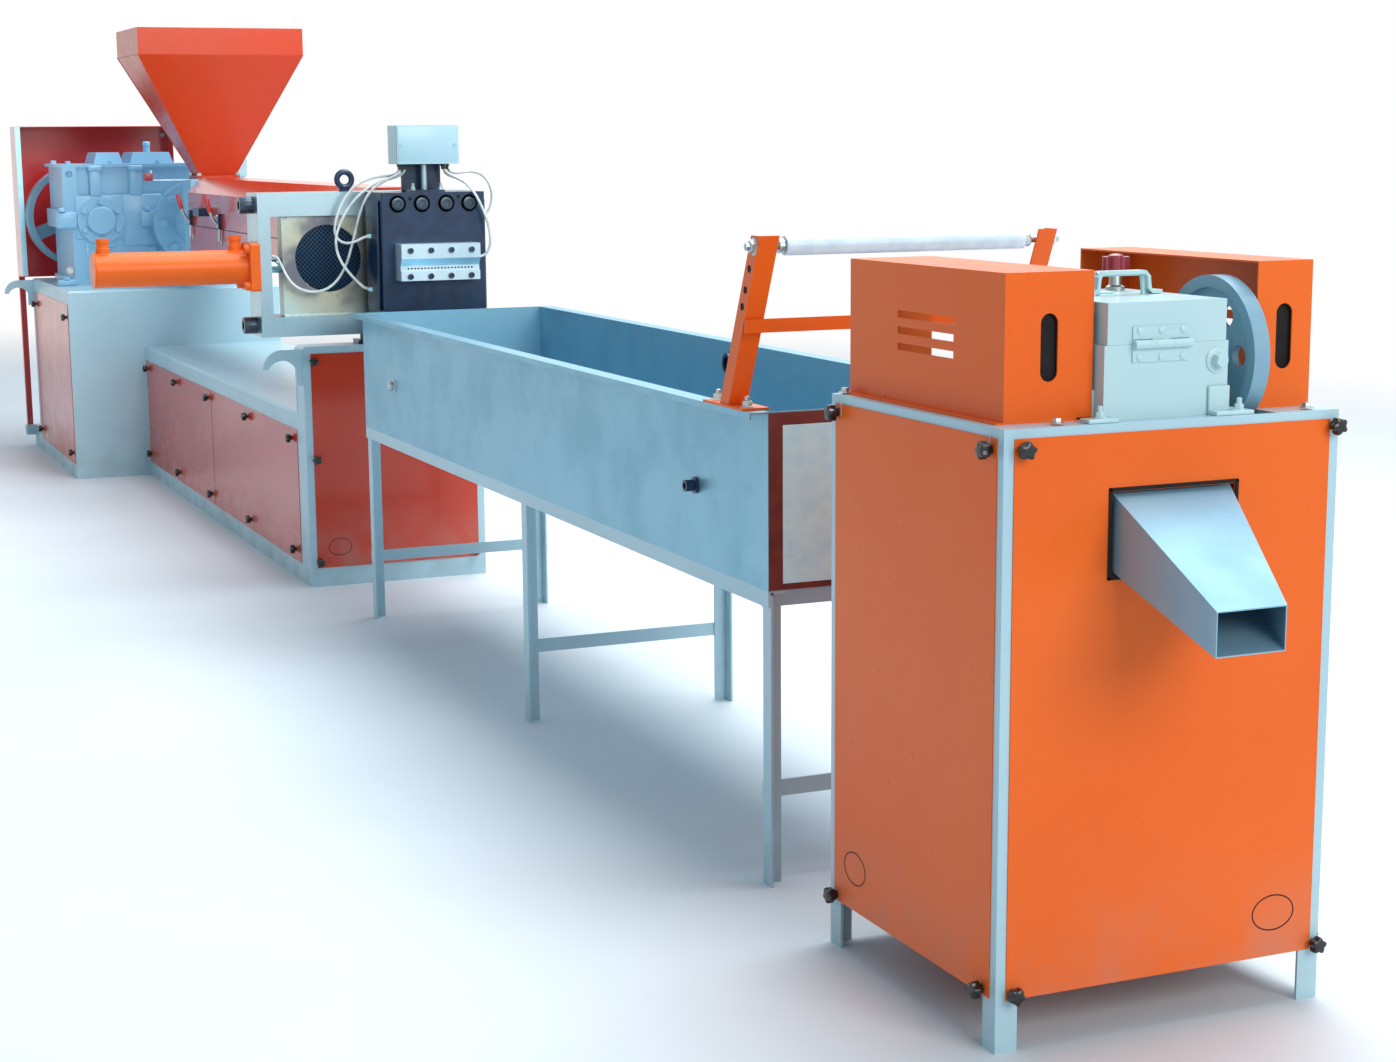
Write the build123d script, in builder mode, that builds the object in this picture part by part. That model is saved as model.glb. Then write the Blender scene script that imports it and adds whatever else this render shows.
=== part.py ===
from build123d import *
import math
import os

os.makedirs("parts", exist_ok=True)

# Plastic extruder line: a single-screw extruder, its cooling trough and its strand pelletizer.
# Millimetres. +X is the way the plastic flows, -Y is the operator's side, +Z is up.
# The origin lies on the floor, under the middle of the barrel bed.

# General clearances and stock
touch_gap = 0.3
run_gap = 5
slide_gap = 1
cut_over = 20
sheet = 3
panel_sheet = 2
angle_wall = 5

# Screw line: the height that every station of the extruder and the trough is set from
axis_height = 1085
barrel_radius = 80
bore_radius = 45

# Extruder base
bed_length = 2910
bed_width = 600
bed_height = 565
stand_depth = 100
stand_drop = 296
stand_height = axis_height - stand_drop
pedestal_length = 1130
pedestal_drop = 270
pedestal_height = axis_height - pedestal_drop
pedestal_near = 618
pedestal_far = 300
base_band = 62
top_band = 58
panel_side_margin = 16
base_edge = 8
skid_height = 100
skid_width = 60
skid_cross = 45
bed_front = bed_length / 2
bed_rear = -bed_length / 2
bed_half = bed_width / 2
stand_rear = bed_front - stand_depth
pedestal_rear = bed_rear - pedestal_length

# Helical gearbox on the pedestal
gearbox_set_back = 420
gearbox_front = bed_rear - gearbox_set_back
gearbox_depth = 550
gearbox_near = 554
gearbox_far = 256
split_rise = 21
gearbox_split = axis_height + split_rise
gearbox_rise = 265
gearbox_top = axis_height + gearbox_rise
flange_height = 40
casting_inset = 14
foot_height = 30
foot_margin = 20
casting_fillet = 18
rib_width = 34
rib_depth = 13
input_y = -398
input_rise = 16
input_height = axis_height + input_rise
cap_radius = 103
cap_depth = 22
cap_inner_radius = 62
cap_inner_depth = 22
lug_radius = 30
lug_hole = 15
thrust_radius = 184
thrust_depth = 150
gearbox_rear = gearbox_front - gearbox_depth

# Main pulley and belt guard
pulley_radius = 234
pulley_width = 110
pulley_rim = 26
pulley_hub = 52
pulley_gap = 75
spoke_count = 4
spoke_width = 60
spoke_depth = 34
shaft_radius = 30
guard_near = 657
guard_far = 80
guard_clear = 5
guard_bottom = pedestal_height + guard_clear
guard_rise = 171
guard_top = gearbox_top + guard_rise
guard_depth = 170
guard_gap = 170
guard_leg = 30
pulley_front = gearbox_rear - pulley_gap
pulley_rear = pulley_front - pulley_width
guard_rear = pulley_rear - guard_gap

# Hopper, throat and gate
hopper_set_in = 175
hopper_x = bed_rear + hopper_set_in
hopper_band = 109
hopper_foot_rise = 217
hopper_bottom = axis_height + hopper_foot_rise
hopper_rise = 607
hopper_top = hopper_bottom + hopper_rise
hopper_half_x = 252
hopper_half_y = 344
hopper_foot_half = 75
hopper_flange = 14
gate_thick = 5
gate_gap = 0.5
gate_half = 60
gate_reach = 215
throat_half_x = 90
throat_half_y = 120
throat_bore = 50
throat_drop = 120

# Barrel hood
hood_end_gap = 95
hood_rear = hopper_x + hood_end_gap
hood_over = 25
hood_front = bed_front + hood_over
hood_half = 135
hood_ridge_half = 80
shoulder_rise = 148
hood_shoulder = axis_height + shoulder_rise
hood_rise = 208
hood_top = axis_height + hood_rise
hood_split_rise = 13
hood_split = axis_height + hood_split_rise
hood_drop = 107
hood_bottom = axis_height - hood_drop

# Screen changer
changer_set_out = 320
changer_front = bed_front + changer_set_out
changer_depth = 150
frame_half = 500
frame_plate = 38
frame_rise = 202
frame_top = axis_height + frame_rise
frame_drop = 235
frame_bottom = axis_height - frame_drop
top_bar = 71
bottom_bar = 60
slide_thick = 60
slide_recess = 25
slide_near_margin = 40
slide_pitch = 280
breaker_radius = 103
breaker_clear = 0.5
body_half = 160
changer_rear = changer_front - changer_depth
slide_front = changer_front - slide_recess
slide_rear = slide_front - slide_thick

# Hydraulic cylinder of the changer
cylinder_drop = 20
cylinder_radius = 52
cylinder_length = 460
cylinder_flange_half = 73
cylinder_flange_thick = 30
rod_radius = 22
port_radius = 17
port_height = 34
port_inset = 32

# Die block and strand die
block_depth = 180
block_half = 163
block_rise = 201
block_top = axis_height + block_rise
block_drop = 180
block_bottom = axis_height - block_drop
block_edge = 3
die_half = 124
die_back = 26
die_front = 44
die_rise = 48
die_top = axis_height + die_rise
die_drop = 62
die_bottom = axis_height - die_drop
die_step = 15
strand_holes = 20
strand_hole = 2
strand_span = 200
block_front = changer_front + block_depth

# Terminal box over the die block
terminal_half = 98
terminal_height = 116
terminal_depth = 100
terminal_rise = 84
terminal_base = block_top + terminal_rise
stem_radius = 6
lifting_eye_radius = 32
lifting_eye_wire = 9
lifting_eye_y = -208

# Cooling trough
trough_gap = 51
trough_start = block_front + trough_gap
trough_length = 2901
trough_near = -246
trough_width = 565
rim_drop = 153
trough_rim = axis_height - rim_drop
trough_depth = 344
trough_floor = trough_rim - trough_depth
rim_width = 38
rim_lip = 12
trough_rail = 32
leg_width = 36
tie_low = 172
tie_high = 205
tie_thick = 5
trough_end = trough_start + trough_length
trough_far = trough_near + trough_width

# Guide roller over the trough
arm_foot_back = 127
arm_lean = 148
arm_foot_x = trough_end - arm_foot_back
arm_head_x = arm_foot_x + arm_lean
arm_rise = 330
arm_head = trough_rim + arm_rise
arm_width = 40
arm_wall = 4
arm_seat_length = 190
arm_seat_width = 56
arm_seat_thick = 5
roller_back = 8
roller_x = arm_head_x - roller_back
roller_rise = 310
roller_height = trough_rim + roller_rise
roller_radius = 18
roller_axle = 7
roller_inset = 26
cross_rise = 147
cross_low = trough_rim + cross_rise
cross_height = 26
cross_wall = 5

# Pelletizer cabinet
cabinet_gap = 322
cabinet_length = 586
cabinet_near = -272
cabinet_width = 624
cabinet_height = 1000
cabinet_post = 40
cabinet_post_wall = 5
panel_low = 88
panel_top_gap = 15
panel_edge = 18
table_thick = 10
rail_height = 28
cabinet_rear = trough_end + cabinet_gap
cabinet_front = cabinet_rear + cabinet_length
cabinet_far = cabinet_near + cabinet_width

# Cutter housing, rotor and guards
housing_front_gap = 30
housing_length = 300
housing_near = -77
housing_far = 154
housing_wall = 12
housing_front = cabinet_front - housing_front_gap
housing_rear = housing_front - housing_length
seam_rise = 117
lid_seam = cabinet_height + seam_rise
lid_rise = 66
lid_top = lid_seam + lid_rise
lid_wall = 6
hinge_radius = 7
hinge_near = -27
hinge_far = 79
hinge_leaf = 28
hinge_plate = 3
rotor_back = 115
rotor_x = housing_front - rotor_back
rotor_rise = 85
rotor_height = cabinet_height + rotor_rise
rotor_radius = 52
rotor_shaft = 20
rotor_teeth = 12
tooth_depth = 7
tooth_width = 8
flywheel_radius = 128
flywheel_rim = 20
flywheel_width = 30
flywheel_web = 12
flywheel_y = 196
flywheel_holes = 6
flywheel_hole = 18
flywheel_hole_circle = 73
near_pulley_radius = 75
near_pulley_width = 45
near_pulley_gap = 55
near_guard_low_y = -241
near_guard_inset = 9
near_guard_start = cabinet_rear + near_guard_inset
near_guard_length = 522
near_guard_rise = 233
near_guard_top = cabinet_height + near_guard_rise
far_guard_near = 231
far_guard_far = 338
far_guard_over = 4
far_guard_start = cabinet_rear - far_guard_over
far_guard_length = 528
far_guard_rise = 238
far_guard_top = cabinet_height + far_guard_rise
guard_slot_width = 31
guard_slot_height = 106
guard_slot_rise = 116
guard_slot_centre = cabinet_height + guard_slot_rise
louvre_length = 189
louvre_height = 12
louvre_pitch = 27
louvre_count = 3
knob_radius = 24

# Outlet chute
chute_near = -72
chute_far = 146
chute_top_drop = 114
chute_top = cabinet_height - chute_top_drop
chute_bottom_drop = 235
chute_bottom = cabinet_height - chute_bottom_drop
chute_reach = 275
chute_mouth_far = 53
mouth_top_drop = 248
chute_mouth_top = cabinet_height - mouth_top_drop
mouth_bottom_drop = 318
chute_mouth_bottom = cabinet_height - mouth_bottom_drop
chute_inside = 60
chute_sheet = 2
chute_clear = 6

MIN3 = (Align.MIN, Align.MIN, Align.MIN)


def block(low_x, high_x, low_y, high_y, low_z, high_z, mode=Mode.ADD):
    """A box between two corners, added to the sub-part that is open."""
    with Locations((low_x, low_y, low_z)):
        Box(high_x - low_x, high_y - low_y, high_z - low_z, align=MIN3, mode=mode)


def rod_y(radius, x, low_y, high_y, z, mode=Mode.ADD):
    """A round bar along Y."""
    with Locations(Location((x, low_y, z), (-90, 0, 0))):
        Cylinder(radius, high_y - low_y, align=(Align.CENTER, Align.CENTER, Align.MIN), mode=mode)


def rod_x(radius, low_x, high_x, y, z, mode=Mode.ADD):
    """A round bar along X."""
    with Locations(Location((low_x, y, z), (0, 90, 0))):
        Cylinder(radius, high_x - low_x, align=(Align.CENTER, Align.CENTER, Align.MIN), mode=mode)


def rod_z(radius, x, y, low_z, high_z, mode=Mode.ADD):
    """A round bar along Z."""
    with Locations((x, y, low_z)):
        Cylinder(radius, high_z - low_z, align=(Align.CENTER, Align.CENTER, Align.MIN), mode=mode)


def save(builder, name):
    """Label one finished sub-part and write its STEP file."""
    builder.part.label = name
    export_step(builder.part, "parts/" + name + ".step")


# Extruder base: a low bed, a tall pedestal under the gearbox and a stand under the die end
with BuildPart() as barrel_bed:
    block(bed_rear, stand_rear, -bed_half, bed_half, 0, bed_height)
    chamfer(barrel_bed.edges().filter_by(Axis.X).group_by(Axis.Z)[-1], base_edge)
save(barrel_bed, "barrel_bed")

with BuildPart() as die_end_stand:
    block(stand_rear, bed_front, -bed_half, bed_half, 0, stand_height)
    chamfer(die_end_stand.edges().filter_by(Axis.X).group_by(Axis.Z)[-1], base_edge)
save(die_end_stand, "die_end_stand")

with BuildPart() as gearbox_pedestal:
    block(pedestal_rear, bed_rear, -pedestal_near, pedestal_far, 0, pedestal_height)
    chamfer(gearbox_pedestal.edges().group_by(Axis.Z)[-1], base_edge)
save(gearbox_pedestal, "gearbox_pedestal")

# The skid is the open channel frame behind the pedestal that carries the belt guard
with BuildPart() as pedestal_skid:
    for side_y in (-pedestal_near, pedestal_far - skid_width):
        block(guard_rear, pedestal_rear, side_y, side_y + skid_width, 0, skid_height)
    block(guard_rear, guard_rear + skid_width, -guard_near - base_edge, pedestal_far,
          skid_height - skid_cross, skid_height)
save(pedestal_skid, "pedestal_skid")

# Sheet panels of the extruder base, screwed flat on its faces
bed_panel_low = base_band
bed_panel_high = bed_height - top_band
bed_panel_gap = 8
bed_panel_length = (bed_length - stand_depth - bed_panel_gap) / 2 - panel_side_margin
pedestal_panel_high = pedestal_height - top_band

with BuildPart() as extruder_panels:
    for face_y in (-bed_half - panel_sheet, bed_half):
        for start_x in (bed_rear + panel_side_margin,
                        bed_rear + panel_side_margin + bed_panel_length + bed_panel_gap):
            block(start_x, start_x + bed_panel_length, face_y, face_y + panel_sheet,
                  bed_panel_low, bed_panel_high)
    for face_y in (-pedestal_near - panel_sheet, pedestal_far):
        block(pedestal_rear + base_band, bed_rear - panel_side_margin, face_y, face_y + panel_sheet,
              base_band, pedestal_panel_high)
    block(bed_front, bed_front + panel_sheet, -bed_half + panel_side_margin + base_edge,
          bed_half - panel_side_margin - base_edge, base_band, stand_height - panel_side_margin - base_edge)
save(extruder_panels, "extruder_panels")

# Flame-cut lifting hooks at the four upper corners of the base
hook_thick = 14
hook_root = 117
hook_reach = 130
hook_drop = 62
hook_arm = 34
hook_pad = 24


def hook_outline(side, corner_y, top_z):
    """The hook's face: a root plate on the base and an arm that bends down to a blunt tip."""
    tip_y = corner_y + side * hook_reach
    with BuildLine() as outline:
        Polyline((corner_y, top_z - hook_root), (corner_y, top_z),
                 (corner_y + side * (hook_reach - hook_drop), top_z))
        RadiusArc((corner_y + side * (hook_reach - hook_drop), top_z), (tip_y, top_z - hook_drop),
                  side * hook_drop)
        Line((tip_y, top_z - hook_drop), (tip_y - side * hook_arm / 2, top_z - hook_drop))
        ThreePointArc((tip_y - side * hook_arm / 2, top_z - hook_drop),
                      (corner_y + side * (hook_reach - hook_arm / 2 + hook_pad) / 2, top_z - hook_arm),
                      (corner_y + side * hook_pad, top_z - hook_drop))
        Polyline((corner_y + side * hook_pad, top_z - hook_drop),
                 (corner_y + side * hook_pad, top_z - hook_root), (corner_y, top_z - hook_root))
    make_face(outline.edges())


with BuildPart() as lifting_hooks:
    for plane_x, near_y, far_y, top_z in (
            (bed_front, -bed_half, bed_half, stand_height - base_edge),
            (pedestal_rear + hook_thick, -pedestal_near, pedestal_far, pedestal_height - base_edge)):
        for side, corner_y in ((-1, near_y), (1, far_y)):
            with BuildSketch(Plane.YZ.offset(plane_x)):
                hook_outline(side, corner_y, top_z)
            extrude(amount=-hook_thick)
save(lifting_hooks, "lifting_hooks")

# Gearbox: a ribbed lower casting and an upper casting, bolted on one flange at shaft height
with BuildPart() as gearbox_lower:
    with BuildSketch(Plane.YZ.offset(gearbox_front)):
        with BuildLine():
            Polyline((-gearbox_near + foot_margin, pedestal_height),
                     (gearbox_far + foot_margin, pedestal_height),
                     (gearbox_far + foot_margin, pedestal_height + foot_height),
                     (gearbox_far - casting_inset, pedestal_height + foot_height),
                     (gearbox_far - casting_inset, gearbox_split - flange_height),
                     (gearbox_far, gearbox_split - flange_height),
                     (gearbox_far, gearbox_split),
                     (-gearbox_near, gearbox_split),
                     (-gearbox_near, gearbox_split - flange_height),
                     (-gearbox_near + foot_margin + casting_inset, gearbox_split - flange_height),
                     (-gearbox_near + foot_margin + casting_inset, pedestal_height + foot_height),
                     (-gearbox_near + foot_margin, pedestal_height + foot_height),
                     close=True)
        make_face()
    extrude(amount=-gearbox_depth)
    for rib_y in (input_y, input_y + cap_radius * 2, gearbox_far - cap_radius):
        block(gearbox_front, gearbox_front + rib_depth, rib_y, rib_y + rib_width,
              pedestal_height + foot_height, input_height - cap_radius - foot_margin)
save(gearbox_lower, "gearbox_lower")

upper_foot = gearbox_split + flange_height
upper_wall = gearbox_top - casting_inset
cover_height = 50
cover_slope = 30
cover_y_share = ((0.20, 0.36), (0.40, 0.64))

with BuildPart() as gearbox_upper:
    block(gearbox_rear, gearbox_front, -gearbox_near, gearbox_far, gearbox_split, upper_foot)
    block(gearbox_rear + casting_inset, gearbox_front - casting_inset,
          -gearbox_near + casting_inset, gearbox_far - casting_inset, upper_foot, upper_wall)
    block(gearbox_rear, gearbox_front, -gearbox_near, gearbox_far, upper_wall, gearbox_top)
    fillet(gearbox_upper.edges().filter_by(Axis.Z).filter_by_position(
        Axis.Z, upper_foot, upper_wall), casting_fillet)
    for rib_y in (-gearbox_near + lug_radius * 4, input_y + cap_radius + lug_radius, lug_radius):
        block(gearbox_front - casting_inset, gearbox_front, rib_y, rib_y + rib_width,
              upper_foot, upper_wall)
    for lug_y in (-gearbox_near, gearbox_far - lug_radius * 2):
        block(gearbox_front - casting_inset, gearbox_front, lug_y, lug_y + lug_radius * 2,
              upper_foot, upper_wall)
        rod_x(lug_hole, gearbox_front - casting_inset, gearbox_front, lug_y + lug_radius,
              upper_wall - lug_radius, mode=Mode.SUBTRACT)
    gearbox_span = gearbox_near + gearbox_far
    for low_share, high_share in cover_y_share:
        low_y = -gearbox_near + gearbox_span * low_share
        high_y = -gearbox_near + gearbox_span * high_share
        middle_x = (gearbox_front + gearbox_rear) / 2
        with BuildSketch(Plane.XY.offset(gearbox_top)):
            with Locations((middle_x, (low_y + high_y) / 2)):
                Rectangle(gearbox_depth / 2, high_y - low_y)
        with BuildSketch(Plane.XY.offset(gearbox_top + cover_height)):
            with Locations((middle_x, (low_y + high_y) / 2)):
                Rectangle(gearbox_depth / 2 - cover_slope, high_y - low_y - cover_slope)
        loft()
save(gearbox_upper, "gearbox_upper")

with BuildPart() as bearing_cap:
    rod_x(cap_radius, gearbox_front, gearbox_front + cap_depth, input_y, input_height)
    rod_x(cap_inner_radius, gearbox_front + cap_depth, gearbox_front + cap_depth + cap_inner_depth,
          input_y, input_height)
    fillet(bearing_cap.edges().group_by(Axis.X)[-1], base_edge)
save(bearing_cap, "bearing_cap")

# Thrust housing: a cone that widens to the bolted flange which takes the screw's back thrust
thrust_root_radius = 130
thrust_face = 45
spool_radius = 95
thrust_front = gearbox_front + thrust_depth

with BuildPart() as thrust_housing:
    with BuildSketch(Plane.XZ):
        with BuildLine():
            Polyline((gearbox_front, axis_height), (gearbox_front, axis_height + thrust_root_radius),
                     (thrust_front - thrust_face, axis_height + thrust_radius),
                     (thrust_front, axis_height + thrust_radius),
                     (thrust_front, axis_height + spool_radius),
                     (hopper_x - throat_half_x, axis_height + spool_radius),
                     (hopper_x - throat_half_x, axis_height), close=True)
        make_face()
    revolve(axis=Axis((0, 0, axis_height), (1, 0, 0)))
save(thrust_housing, "thrust_housing")

# Main pulley: a flat rim on spokes, its shaft running into the gearbox
with BuildPart() as main_pulley:
    with BuildSketch(Plane.YZ.offset(pulley_rear)):
        with Locations((input_y, input_height)):
            Circle(pulley_radius)
            Circle(pulley_radius - pulley_rim, mode=Mode.SUBTRACT)
    extrude(amount=pulley_width)
    rod_x(pulley_hub, pulley_rear, pulley_front, input_y, input_height)
    spoke_rear = (pulley_rear + pulley_front - spoke_depth) / 2
    with BuildSketch(Plane.YZ.offset(spoke_rear)):
        with Locations((input_y, input_height)):
            with PolarLocations((pulley_radius - pulley_rim) / 2, spoke_count, start_angle=22.5):
                Rectangle(pulley_radius - pulley_rim / 2, spoke_width)
    extrude(amount=spoke_depth)
    rod_x(shaft_radius, pulley_front, gearbox_rear - touch_gap, input_y, input_height)
save(main_pulley, "main_pulley")

# Belt guard: a shallow tray, open towards the gearbox, on two angle legs
with BuildPart() as belt_guard:
    block(guard_rear, guard_rear + guard_depth, -guard_near, guard_far, guard_bottom, guard_top)
    block(guard_rear + sheet, guard_rear + guard_depth + cut_over, -guard_near + sheet,
          guard_far - sheet, guard_bottom + sheet, guard_top - sheet, mode=Mode.SUBTRACT)
save(belt_guard, "belt_guard")

with BuildPart() as belt_guard_legs:
    for leg_y in (-guard_near, guard_far - guard_leg):
        with BuildSketch(Plane.XY.offset(skid_height)):
            with Locations((guard_rear, leg_y)):
                Rectangle(guard_leg, guard_leg, align=(Align.MIN, Align.MIN))
                with Locations((angle_wall, angle_wall)):
                    Rectangle(guard_leg, guard_leg, align=(Align.MIN, Align.MIN), mode=Mode.SUBTRACT)
        extrude(amount=guard_bottom - skid_height)
save(belt_guard_legs, "belt_guard_legs")

# Barrel with its end flange
barrel_flange = 140
barrel_flange_thick = 45
barrel_rear = hopper_x + throat_half_x

with BuildPart() as barrel:
    rod_x(barrel_radius, barrel_rear, changer_rear - barrel_flange_thick, 0, axis_height)
    rod_x(barrel_flange, changer_rear - barrel_flange_thick, changer_rear, 0, axis_height)
save(barrel, "barrel")

# Feed throat: a cast block with the drop hole under the hopper and a slot for the gate
gate_level = hopper_bottom - hopper_flange

with BuildPart() as feed_throat:
    block(hopper_x - throat_half_x, hopper_x + throat_half_x, -throat_half_y, throat_half_y,
          axis_height - throat_half_y, gate_level)
    rod_z(throat_bore, hopper_x, 0, gate_level - throat_drop, gate_level, mode=Mode.SUBTRACT)
    block(hopper_x - gate_half - slide_gap, hopper_x + gate_half + slide_gap,
          -throat_half_y, gate_half + slide_gap, gate_level - gate_thick - gate_gap * 2, gate_level,
          mode=Mode.SUBTRACT)
save(feed_throat, "feed_throat")

# Slide gate: a flat strip with a turned-up pull, pulled out towards the operator
gate_pull = 22
gate_near = -gate_reach - gate_half

with BuildPart() as hopper_gate:
    gate_low = gate_level - gate_thick - gate_gap
    block(hopper_x - gate_half, hopper_x + gate_half, -gate_half, gate_half, gate_low, gate_low + gate_thick)
    block(hopper_x - gate_pull / 2, hopper_x + gate_pull / 2, gate_near, -gate_half,
          gate_low, gate_low + gate_thick)
    block(hopper_x - gate_pull, hopper_x + gate_pull, gate_near, gate_near + gate_thick,
          gate_low, gate_low + gate_pull * 2)
save(hopper_gate, "hopper_gate")


def hopper_sections(inset):
    """The hopper's foot and the fold under its upright band, moved in by inset."""
    with BuildSketch(Plane.XY.offset(hopper_bottom)) as foot:
        with Locations((hopper_x, 0)):
            Rectangle(2 * (hopper_foot_half - inset), 2 * (hopper_foot_half - inset))
    with BuildSketch(Plane.XY.offset(hopper_top - hopper_band)) as fold:
        with Locations((hopper_x, 0)):
            Rectangle(2 * (hopper_half_x - inset), 2 * (hopper_half_y - inset))
    return [foot.sketch, fold.sketch]


# Hopper: four folded sheets over a bolting flange, under an upright band, open at the top
with BuildPart() as hopper_void:
    loft(sections=hopper_sections(sheet))
    block(hopper_x - hopper_half_x + sheet, hopper_x + hopper_half_x - sheet, -hopper_half_y + sheet,
          hopper_half_y - sheet, hopper_top - hopper_band, hopper_top + cut_over)
    block(hopper_x - hopper_foot_half + sheet, hopper_x + hopper_foot_half - sheet,
          -hopper_foot_half + sheet, hopper_foot_half - sheet, gate_level - cut_over, hopper_bottom)

with BuildPart() as hopper:
    loft(sections=hopper_sections(0))
    block(hopper_x - throat_half_x, hopper_x + throat_half_x, -throat_half_x, throat_half_x,
          gate_level, hopper_bottom)
    add(hopper_void.part, mode=Mode.SUBTRACT)
save(hopper, "hopper")

with BuildPart() as hopper_rim:
    block(hopper_x - hopper_half_x, hopper_x + hopper_half_x, -hopper_half_y, hopper_half_y,
          hopper_top - hopper_band, hopper_top)
    add(hopper_void.part, mode=Mode.SUBTRACT)
save(hopper_rim, "hopper_rim")


# Barrel hood: two folded sheets that meet on a level split, with a chamfered roof
def hood_roof(inset):
    """The upper sheet's section, moved in by inset."""
    with BuildLine() as outline:
        Polyline((-hood_half + inset, hood_split), (-hood_half + inset, hood_shoulder - inset / 2),
                 (-hood_ridge_half + inset / 2, hood_top - inset),
                 (hood_ridge_half - inset / 2, hood_top - inset),
                 (hood_half - inset, hood_shoulder - inset / 2), (hood_half - inset, hood_split),
                 close=True)
    make_face(outline.edges())


hood_length = hood_front - hood_rear

with BuildPart() as hood_inside:
    with BuildSketch(Plane.YZ.offset(hood_rear + sheet)):
        hood_roof(sheet)
    extrude(amount=hood_length - 2 * sheet)
    rod_x(barrel_radius + slide_gap, hood_rear - cut_over, hood_front + cut_over, 0, axis_height)

with BuildPart() as hood_upper:
    with BuildSketch(Plane.YZ.offset(hood_rear)):
        hood_roof(0)
    extrude(amount=hood_length)
    add(hood_inside.part, mode=Mode.SUBTRACT)
save(hood_upper, "hood_upper")

with BuildPart() as hood_lower:
    block(hood_rear, hood_front, -hood_half, hood_half, hood_bottom, hood_split)
    block(hood_rear + sheet, hood_front - sheet, -hood_half + sheet, hood_half - sheet,
          hood_bottom + sheet, hood_split, mode=Mode.SUBTRACT)
    rod_x(barrel_radius + slide_gap, hood_rear - cut_over, hood_front + cut_over, 0, axis_height,
          mode=Mode.SUBTRACT)
save(hood_lower, "hood_lower")

# Toggle latches and the pull handle on the operator's side of the hood
latch_width = 26
latch_depth = 14
latch_rise = 62
latch_start = 55
latch_pitch = 585
handle_offset = 300
latch_places = (hood_rear + latch_start, hood_rear + latch_start + latch_pitch)
handle_start = hood_rear + handle_offset
handle_length = 120
handle_stand_off = 42
handle_bar = 16
handle_lift = 46
handle_level = hood_split + handle_lift

with BuildPart() as hood_latches:
    for latch_x in latch_places:
        block(latch_x, latch_x + latch_width, -hood_half - latch_depth, -hood_half,
              hood_split + slide_gap, hood_split + latch_rise)
    with BuildSketch(Plane.XY.offset(handle_level)):
        with Locations((handle_start, -hood_half)):
            Rectangle(handle_length, handle_stand_off, align=(Align.MIN, Align.MAX))
            with Locations((handle_bar, 0)):
                Rectangle(handle_length - 2 * handle_bar, handle_stand_off - handle_bar,
                          align=(Align.MIN, Align.MAX), mode=Mode.SUBTRACT)
    extrude(amount=handle_bar * 2)
save(hood_latches, "hood_latches")

# Barrel support: a saddle plate on the die-end stand with two levelling screws
support_half = 110
support_plate = 14
support_screw = 15
support_x = stand_rear + stand_depth / 2

with BuildPart() as barrel_support:
    block(stand_rear + support_plate, bed_front - support_plate, -support_half, support_half,
          stand_height, stand_height + support_plate)
    for screw_y in (-support_half + 2 * support_screw, support_half - 2 * support_screw):
        rod_z(support_screw, support_x, screw_y, stand_height + support_plate,
              hood_bottom - 2 * support_plate)
    block(stand_rear + support_plate, bed_front - support_plate, -support_half, support_half,
          hood_bottom - 2 * support_plate, hood_bottom)
save(barrel_support, "barrel_support")

# Screen changer: a body behind the slide, and a frame of two bars and an end plate in which the
# slide runs. The far end is open, so that the slide can pass out with the used screen.
with BuildPart() as changer_body:
    block(changer_rear, slide_rear - slide_gap, -body_half, body_half,
          frame_bottom + bottom_bar, frame_top - top_bar)
    rod_x(bore_radius, changer_rear, slide_rear, 0, axis_height, mode=Mode.SUBTRACT)
save(changer_body, "changer_body")

frame_inner = frame_half - frame_plate

with BuildPart() as changer_frame:
    block(changer_rear, changer_front, -frame_half, -frame_inner, frame_bottom, frame_top)
    block(changer_rear, changer_front, -frame_inner, block_half, frame_top - top_bar, frame_top)
    block(changer_rear, changer_front, -frame_inner, block_half, frame_bottom, frame_bottom + bottom_bar)
    cylinder_height = axis_height - cylinder_drop
    slide_middle = (slide_front + slide_rear) / 2
    rod_y(rod_radius + slide_gap, slide_middle, -frame_half, -frame_inner, cylinder_height,
          mode=Mode.SUBTRACT)
save(changer_frame, "changer_frame")

slide_near = -slide_pitch - breaker_radius - slide_near_margin
slide_far = breaker_radius + slide_near_margin

with BuildPart() as slide_plate:
    block(slide_rear, slide_front, slide_near, slide_far, frame_bottom + bottom_bar + slide_gap,
          frame_top - top_bar - slide_gap)
    for bore_y in (-slide_pitch, 0):
        rod_x(breaker_radius, slide_rear, slide_front, bore_y, axis_height, mode=Mode.SUBTRACT)
    chamfer(slide_plate.edges().filter_by(Axis.X), slide_gap * 2)
save(slide_plate, "slide_plate")

# Breaker plates: drilled discs that back the screens, one in each bore of the slide
breaker_thick = 30
breaker_hole = 9
breaker_hole_pitch = 34

with BuildPart() as breaker_plates:
    for bore_y in (-slide_pitch, 0):
        with BuildSketch(Plane.YZ.offset(slide_middle - breaker_thick / 2)):
            with Locations((bore_y, axis_height)):
                Circle(breaker_radius - breaker_clear)
                with HexLocations(breaker_hole_pitch / 2, 5, 5):
                    Circle(breaker_hole, mode=Mode.SUBTRACT)
        extrude(amount=breaker_thick)
save(breaker_plates, "breaker_plates")

cylinder_foot = -frame_half - cylinder_flange_thick
cylinder_end = cylinder_foot - cylinder_length
rod_tail = cylinder_foot - slide_pitch - cylinder_flange_thick

with BuildPart() as slide_ram:
    rod_y(rod_radius, slide_middle, rod_tail, slide_near, cylinder_height)
save(slide_ram, "slide_ram")

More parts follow.
